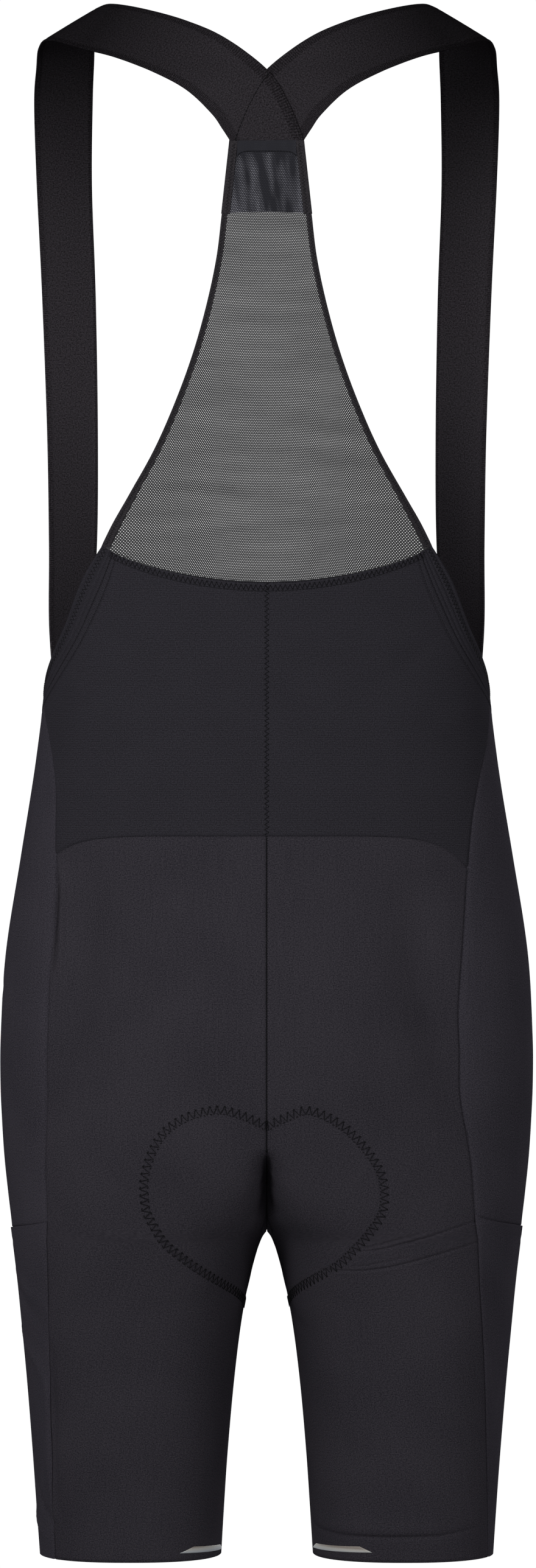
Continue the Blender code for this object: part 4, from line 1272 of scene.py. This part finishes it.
def sew(name, runs, side=1, thickness=THREAD):
    """Lay thread along runs of points as one piece of round tubes."""
    curve = bpy.data.curves.new(name, 'CURVE')
    curve.dimensions = '3D'
    curve.bevel_depth = thickness
    curve.bevel_resolution = 1
    curve.use_fill_caps = True
    for run in runs:
        spline = curve.splines.new('POLY')
        spline.points.add(len(run) - 1)
        for point, where in zip(spline.points, run):
            point.co = (side * where.x, where.y, where.z, 1.0)
    curve.materials.append(polyester)
    piece = bpy.data.objects.new(name, curve)
    bpy.context.scene.collection.objects.link(piece)
    bpy.ops.object.select_all(action='DESELECT')
    bpy.context.view_layer.objects.active = piece
    piece.select_set(True)
    bpy.ops.object.convert(target='MESH')
    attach(piece, "root")


def needle_marks(spot, rows, pitch, length):
    """Short slanted marks side by side over a seam, where a row of needles pulls it in."""
    places = every(spot, pitch)
    return [[spot(blend(here, after, 0.38), out - length / 2),
             spot(blend(here, after, 0.62), out + length / 2)]
            for here, after in zip(places, places[1:]) for out in rows]


def sew_zigzag(name, spot, width, pitch, side, marks=None, thickness=0.00018):
    """A thin zigzag that sinks into the cloth, and the marks that its needles leave."""
    sew(name + "zigzag_" + NAME[side], zigzag(spot, width, pitch), side, thickness)
    sew(name + "needle_marks_" + NAME[side], marks or ticks(spot, width, pitch), side, MARK)


def on_cloth(course, side, proud):
    """A line of stitches along heights and angles, with a way to step across it on the cloth."""
    def spot(part, out):
        height, angle = along(course, part, (0, 1))
        ahead = along(course, min(part + 0.004, 1.0), (0, 1))
        behind = along(course, max(part - 0.004, 0.0), (0, 1))
        run = skin(*ahead) - skin(*behind)
        way = outward(height, angle)
        across = run.cross(way).normalized()
        return lay(height, angle, side, proud) + across * out
    return spot


for side in (1, -1):
    for part, course in (("pad_", PAD_STITCH[side]), ("front_pad_", FRONT_PAD_STITCH)):
        line = on_cloth(course, side, 0.0005)
        marks = needle_marks(line, (-0.0028, 0.0026), pitch=0.0049, length=0.0007)
        sew_zigzag(part, line, 0.0060, 0.0049, side, marks, thickness=0.00023)

    def band_line(u, proud):
        """A line along the edge band, at a part of the way across it."""
        def spot(v, out):
            return lay(*band_spot(u + out / BAND_WIDTH, v), side, proud)
        return spot
    sew_zigzag("band_", band_line(0.73, 0.00035), width=0.0030, pitch=0.0030, side=side)
    sew("band_row_" + NAME[side], straight(band_line(0.030, 0.0), pitch=0.0026), side,
        FINE_THREAD)
    sew("band_second_row_" + NAME[side], straight(band_line(0.26, -0.0003), pitch=0.0026), side,
        SUNK_THREAD)

    def binding_line(v, out):
        """Down the middle of a mesh binding."""
        height = blend(MESH_TOP, EDGE_BAND[0][1] + 0.001, v)
        inwards = smooth(UPPER_BACK, height, 2) * 0.5 + out
        return lay_beside(height, smooth(UPPER_BACK, height, 1) - inwards, side,
                          TAPE_PROUD + 0.0001)
    sew("binding_zigzag_" + NAME[side], zigzag(binding_line, width=0.0018, pitch=0.0022), side,
        FINE_THREAD)

    def tape_line(v, out):
        """Down one of the tab's side tapes."""
        height = blend(TAB_TOP - 0.0006, MESH_TOP + 0.0006, v)
        inwards = TAB_TAPE * 0.62 + out
        return lay_beside(height, tab_half(height) - inwards, side, TAPE_PROUD + 0.0001)
    sew("tab_zigzag_" + NAME[side], zigzag(tape_line, width=0.0020, pitch=0.0023), side,
        FINE_THREAD)


def centre_line(part, out):
    """Down the seam between the two halves of the lower back."""
    height = blend(MESH_FOOT - 0.001, YOKE + 0.001, part)
    return lay_across(height, turn_for(height, 0.0, out), 0.0002)


sew_zigzag("centre_back_", centre_line, width=0.0030, pitch=0.0036, side=1)


def seat_line(part, out):
    """Down the seam between the two backs of the legs."""
    height = blend(YOKE - 0.001, -0.806, part)
    point = lay(height, middle_angle(height), 1, -0.0005)
    return Vector((out, point.y, point.z))


sew("seat_seam_stitches", zigzag(seat_line, width=0.0008, pitch=0.0018))


def foot_line(drop):
    """A line across the back, at a drop under the mesh's foot."""
    def spot(part, out):
        share = 2 * part - 1
        height = mesh_foot_height(abs(share)) - drop - out
        return lay_across(height, share * (EDGE_BAND[0][0] - 2.5), 0.0004)
    return spot


sew_zigzag("mesh_foot_", foot_line(0.0042), width=0.0036, pitch=0.0034, side=1)
sew("mesh_foot_rows", straight(foot_line(0.0009), pitch=0.0022)
    + straight(foot_line(0.0066), pitch=0.0024), thickness=FINE_THREAD)


# where the straps cross, the upper one's edge is sewn down, and a row of dashes runs through it
# along the lower one's edge
CROSSING = 0.868           # how far along a strap it reaches the other
CROSSED = 0.997            # and how far along the stitches end


def upper_edge(part, out):
    """Along the upper strap's inner edge."""
    u = 0.0014 / STRAP_WIDTH
    return strap_point(u, blend(CROSSING, CROSSED, part), 1, strap_swell(u) + 0.0001)


def lower_edge(part, out):
    """Along the lower strap's inner edge, on the face of the upper one."""
    under = strap_point(0.0030 / STRAP_WIDTH, blend(CROSSING + 0.006, CROSSED, part), -1)
    on_form = skin(under.z, angle_of(under.z, -under.x)).y
    return Vector((-under.x, on_form + LEFT_OVER_RIGHT + 0.0003, under.z))


sew("strap_edge_stitches", straight(upper_edge, pitch=0.0026), thickness=0.00016)
sew("strap_crossing_dashes", straight(lower_edge, pitch=0.0030), thickness=0.00026)


def bar_line(part, out):
    """Along the bar's lower edge."""
    share = 2 * part - 1
    height = TAB_TOP - TAB_BAR + 0.0006 - 0.0030 * share ** 8 + out
    return lay_across(height, angle_of(height, (TAB_HALF_TOP - TAB_TAPE) * share),
                      TAPE_PROUD + 0.0001)


sew("tab_bar_row", straight(bar_line, pitch=0.0021))


# ---------------------------------------------------------------- floor, light and camera
# A pale floor far below, evenly lit as far as it goes, a soft box high on the left and a weaker
# one on the right, the same from the front, and a surround that is white all round at eye level
# and dimmer overhead.
bpy.ops.object.select_all(action='DESELECT')
bpy.ops.mesh.primitive_circle_add(vertices=96, radius=5.5, fill_type='NGON', location=(0, 0, -1.8))
floor = bpy.context.active_object
floor.name = "floor"
# Matt white paint, which gives a little light of its own far out, so that it stays white there.
pale, tree, face = material("matt_white_paint", "d4d4d4", 0.9, 0.5)
spot = node(tree, "TexCoord", output="Object")
reach = node(tree, "VectorMath", (spot,), "Value", operation='LENGTH')
node(tree, "MapRange", (reach, 1.2, 4.0, 0.0, 0.45), to=face["Emission Strength"])
face["Emission Color"].default_value = linear("ffffff")
floor.data.materials.append(pale)

surround = bpy.data.worlds.new("white_surround")
surround.use_nodes = True
tree = surround.node_tree
around = node(tree, "TexCoord", output="Generated")
up = node(tree, "SeparateXYZ", (around,), "Z")
background = tree.nodes["Background"].inputs
node(tree, "MapRange", (up, 0.16, 0.45, 1.02, 0.10), to=background["Strength"])
background["Color"].default_value = linear("ffffff")
bpy.context.scene.world = surround
bpy.context.scene.view_settings.view_transform = 'Standard'

AIM = Vector((0.0, 0.0, -0.60))
SOFT_BOXES = (
    # name, place, width, height, watts
    ("key", (1.0, 1.7, 0.35), 0.9, 0.9, 64.0),
    ("fill", (-1.7, 2.2, 0.2), 1.2, 1.2, 37.0),
    ("front_key", (-1.0, -1.7, 0.35), 0.9, 0.9, 64.0),
    ("front_fill", (1.7, -2.2, 0.2), 1.2, 1.2, 37.0),
)
for name, where, width, tall, watts in SOFT_BOXES:
    light = bpy.data.lights.new(name, 'AREA')
    light.shape = 'RECTANGLE'
    light.size = width
    light.size_y = tall
    light.energy = watts
    lamp = bpy.data.objects.new(name, light)
    lamp.location = where
    lamp.rotation_euler = (AIM - Vector(where)).to_track_quat('-Z', 'Y').to_euler()
    bpy.context.scene.collection.objects.link(lamp)

FAR = 4.8                  # from the camera to the middle of the shorts
SHOWN = 1.1077             # height of the view there
camera = bpy.data.cameras.new("camera")
camera.sensor_width = 36.0
camera.lens = 36.0 * FAR / SHOWN
camera.clip_end = 100.0
eye = bpy.data.objects.new("camera", camera)
eye.location = (-0.0009, FAR, -0.550)
eye.rotation_euler = (radians(90.0), 0.0, radians(180.0))
bpy.context.scene.collection.objects.link(eye)
bpy.context.scene.camera = eye
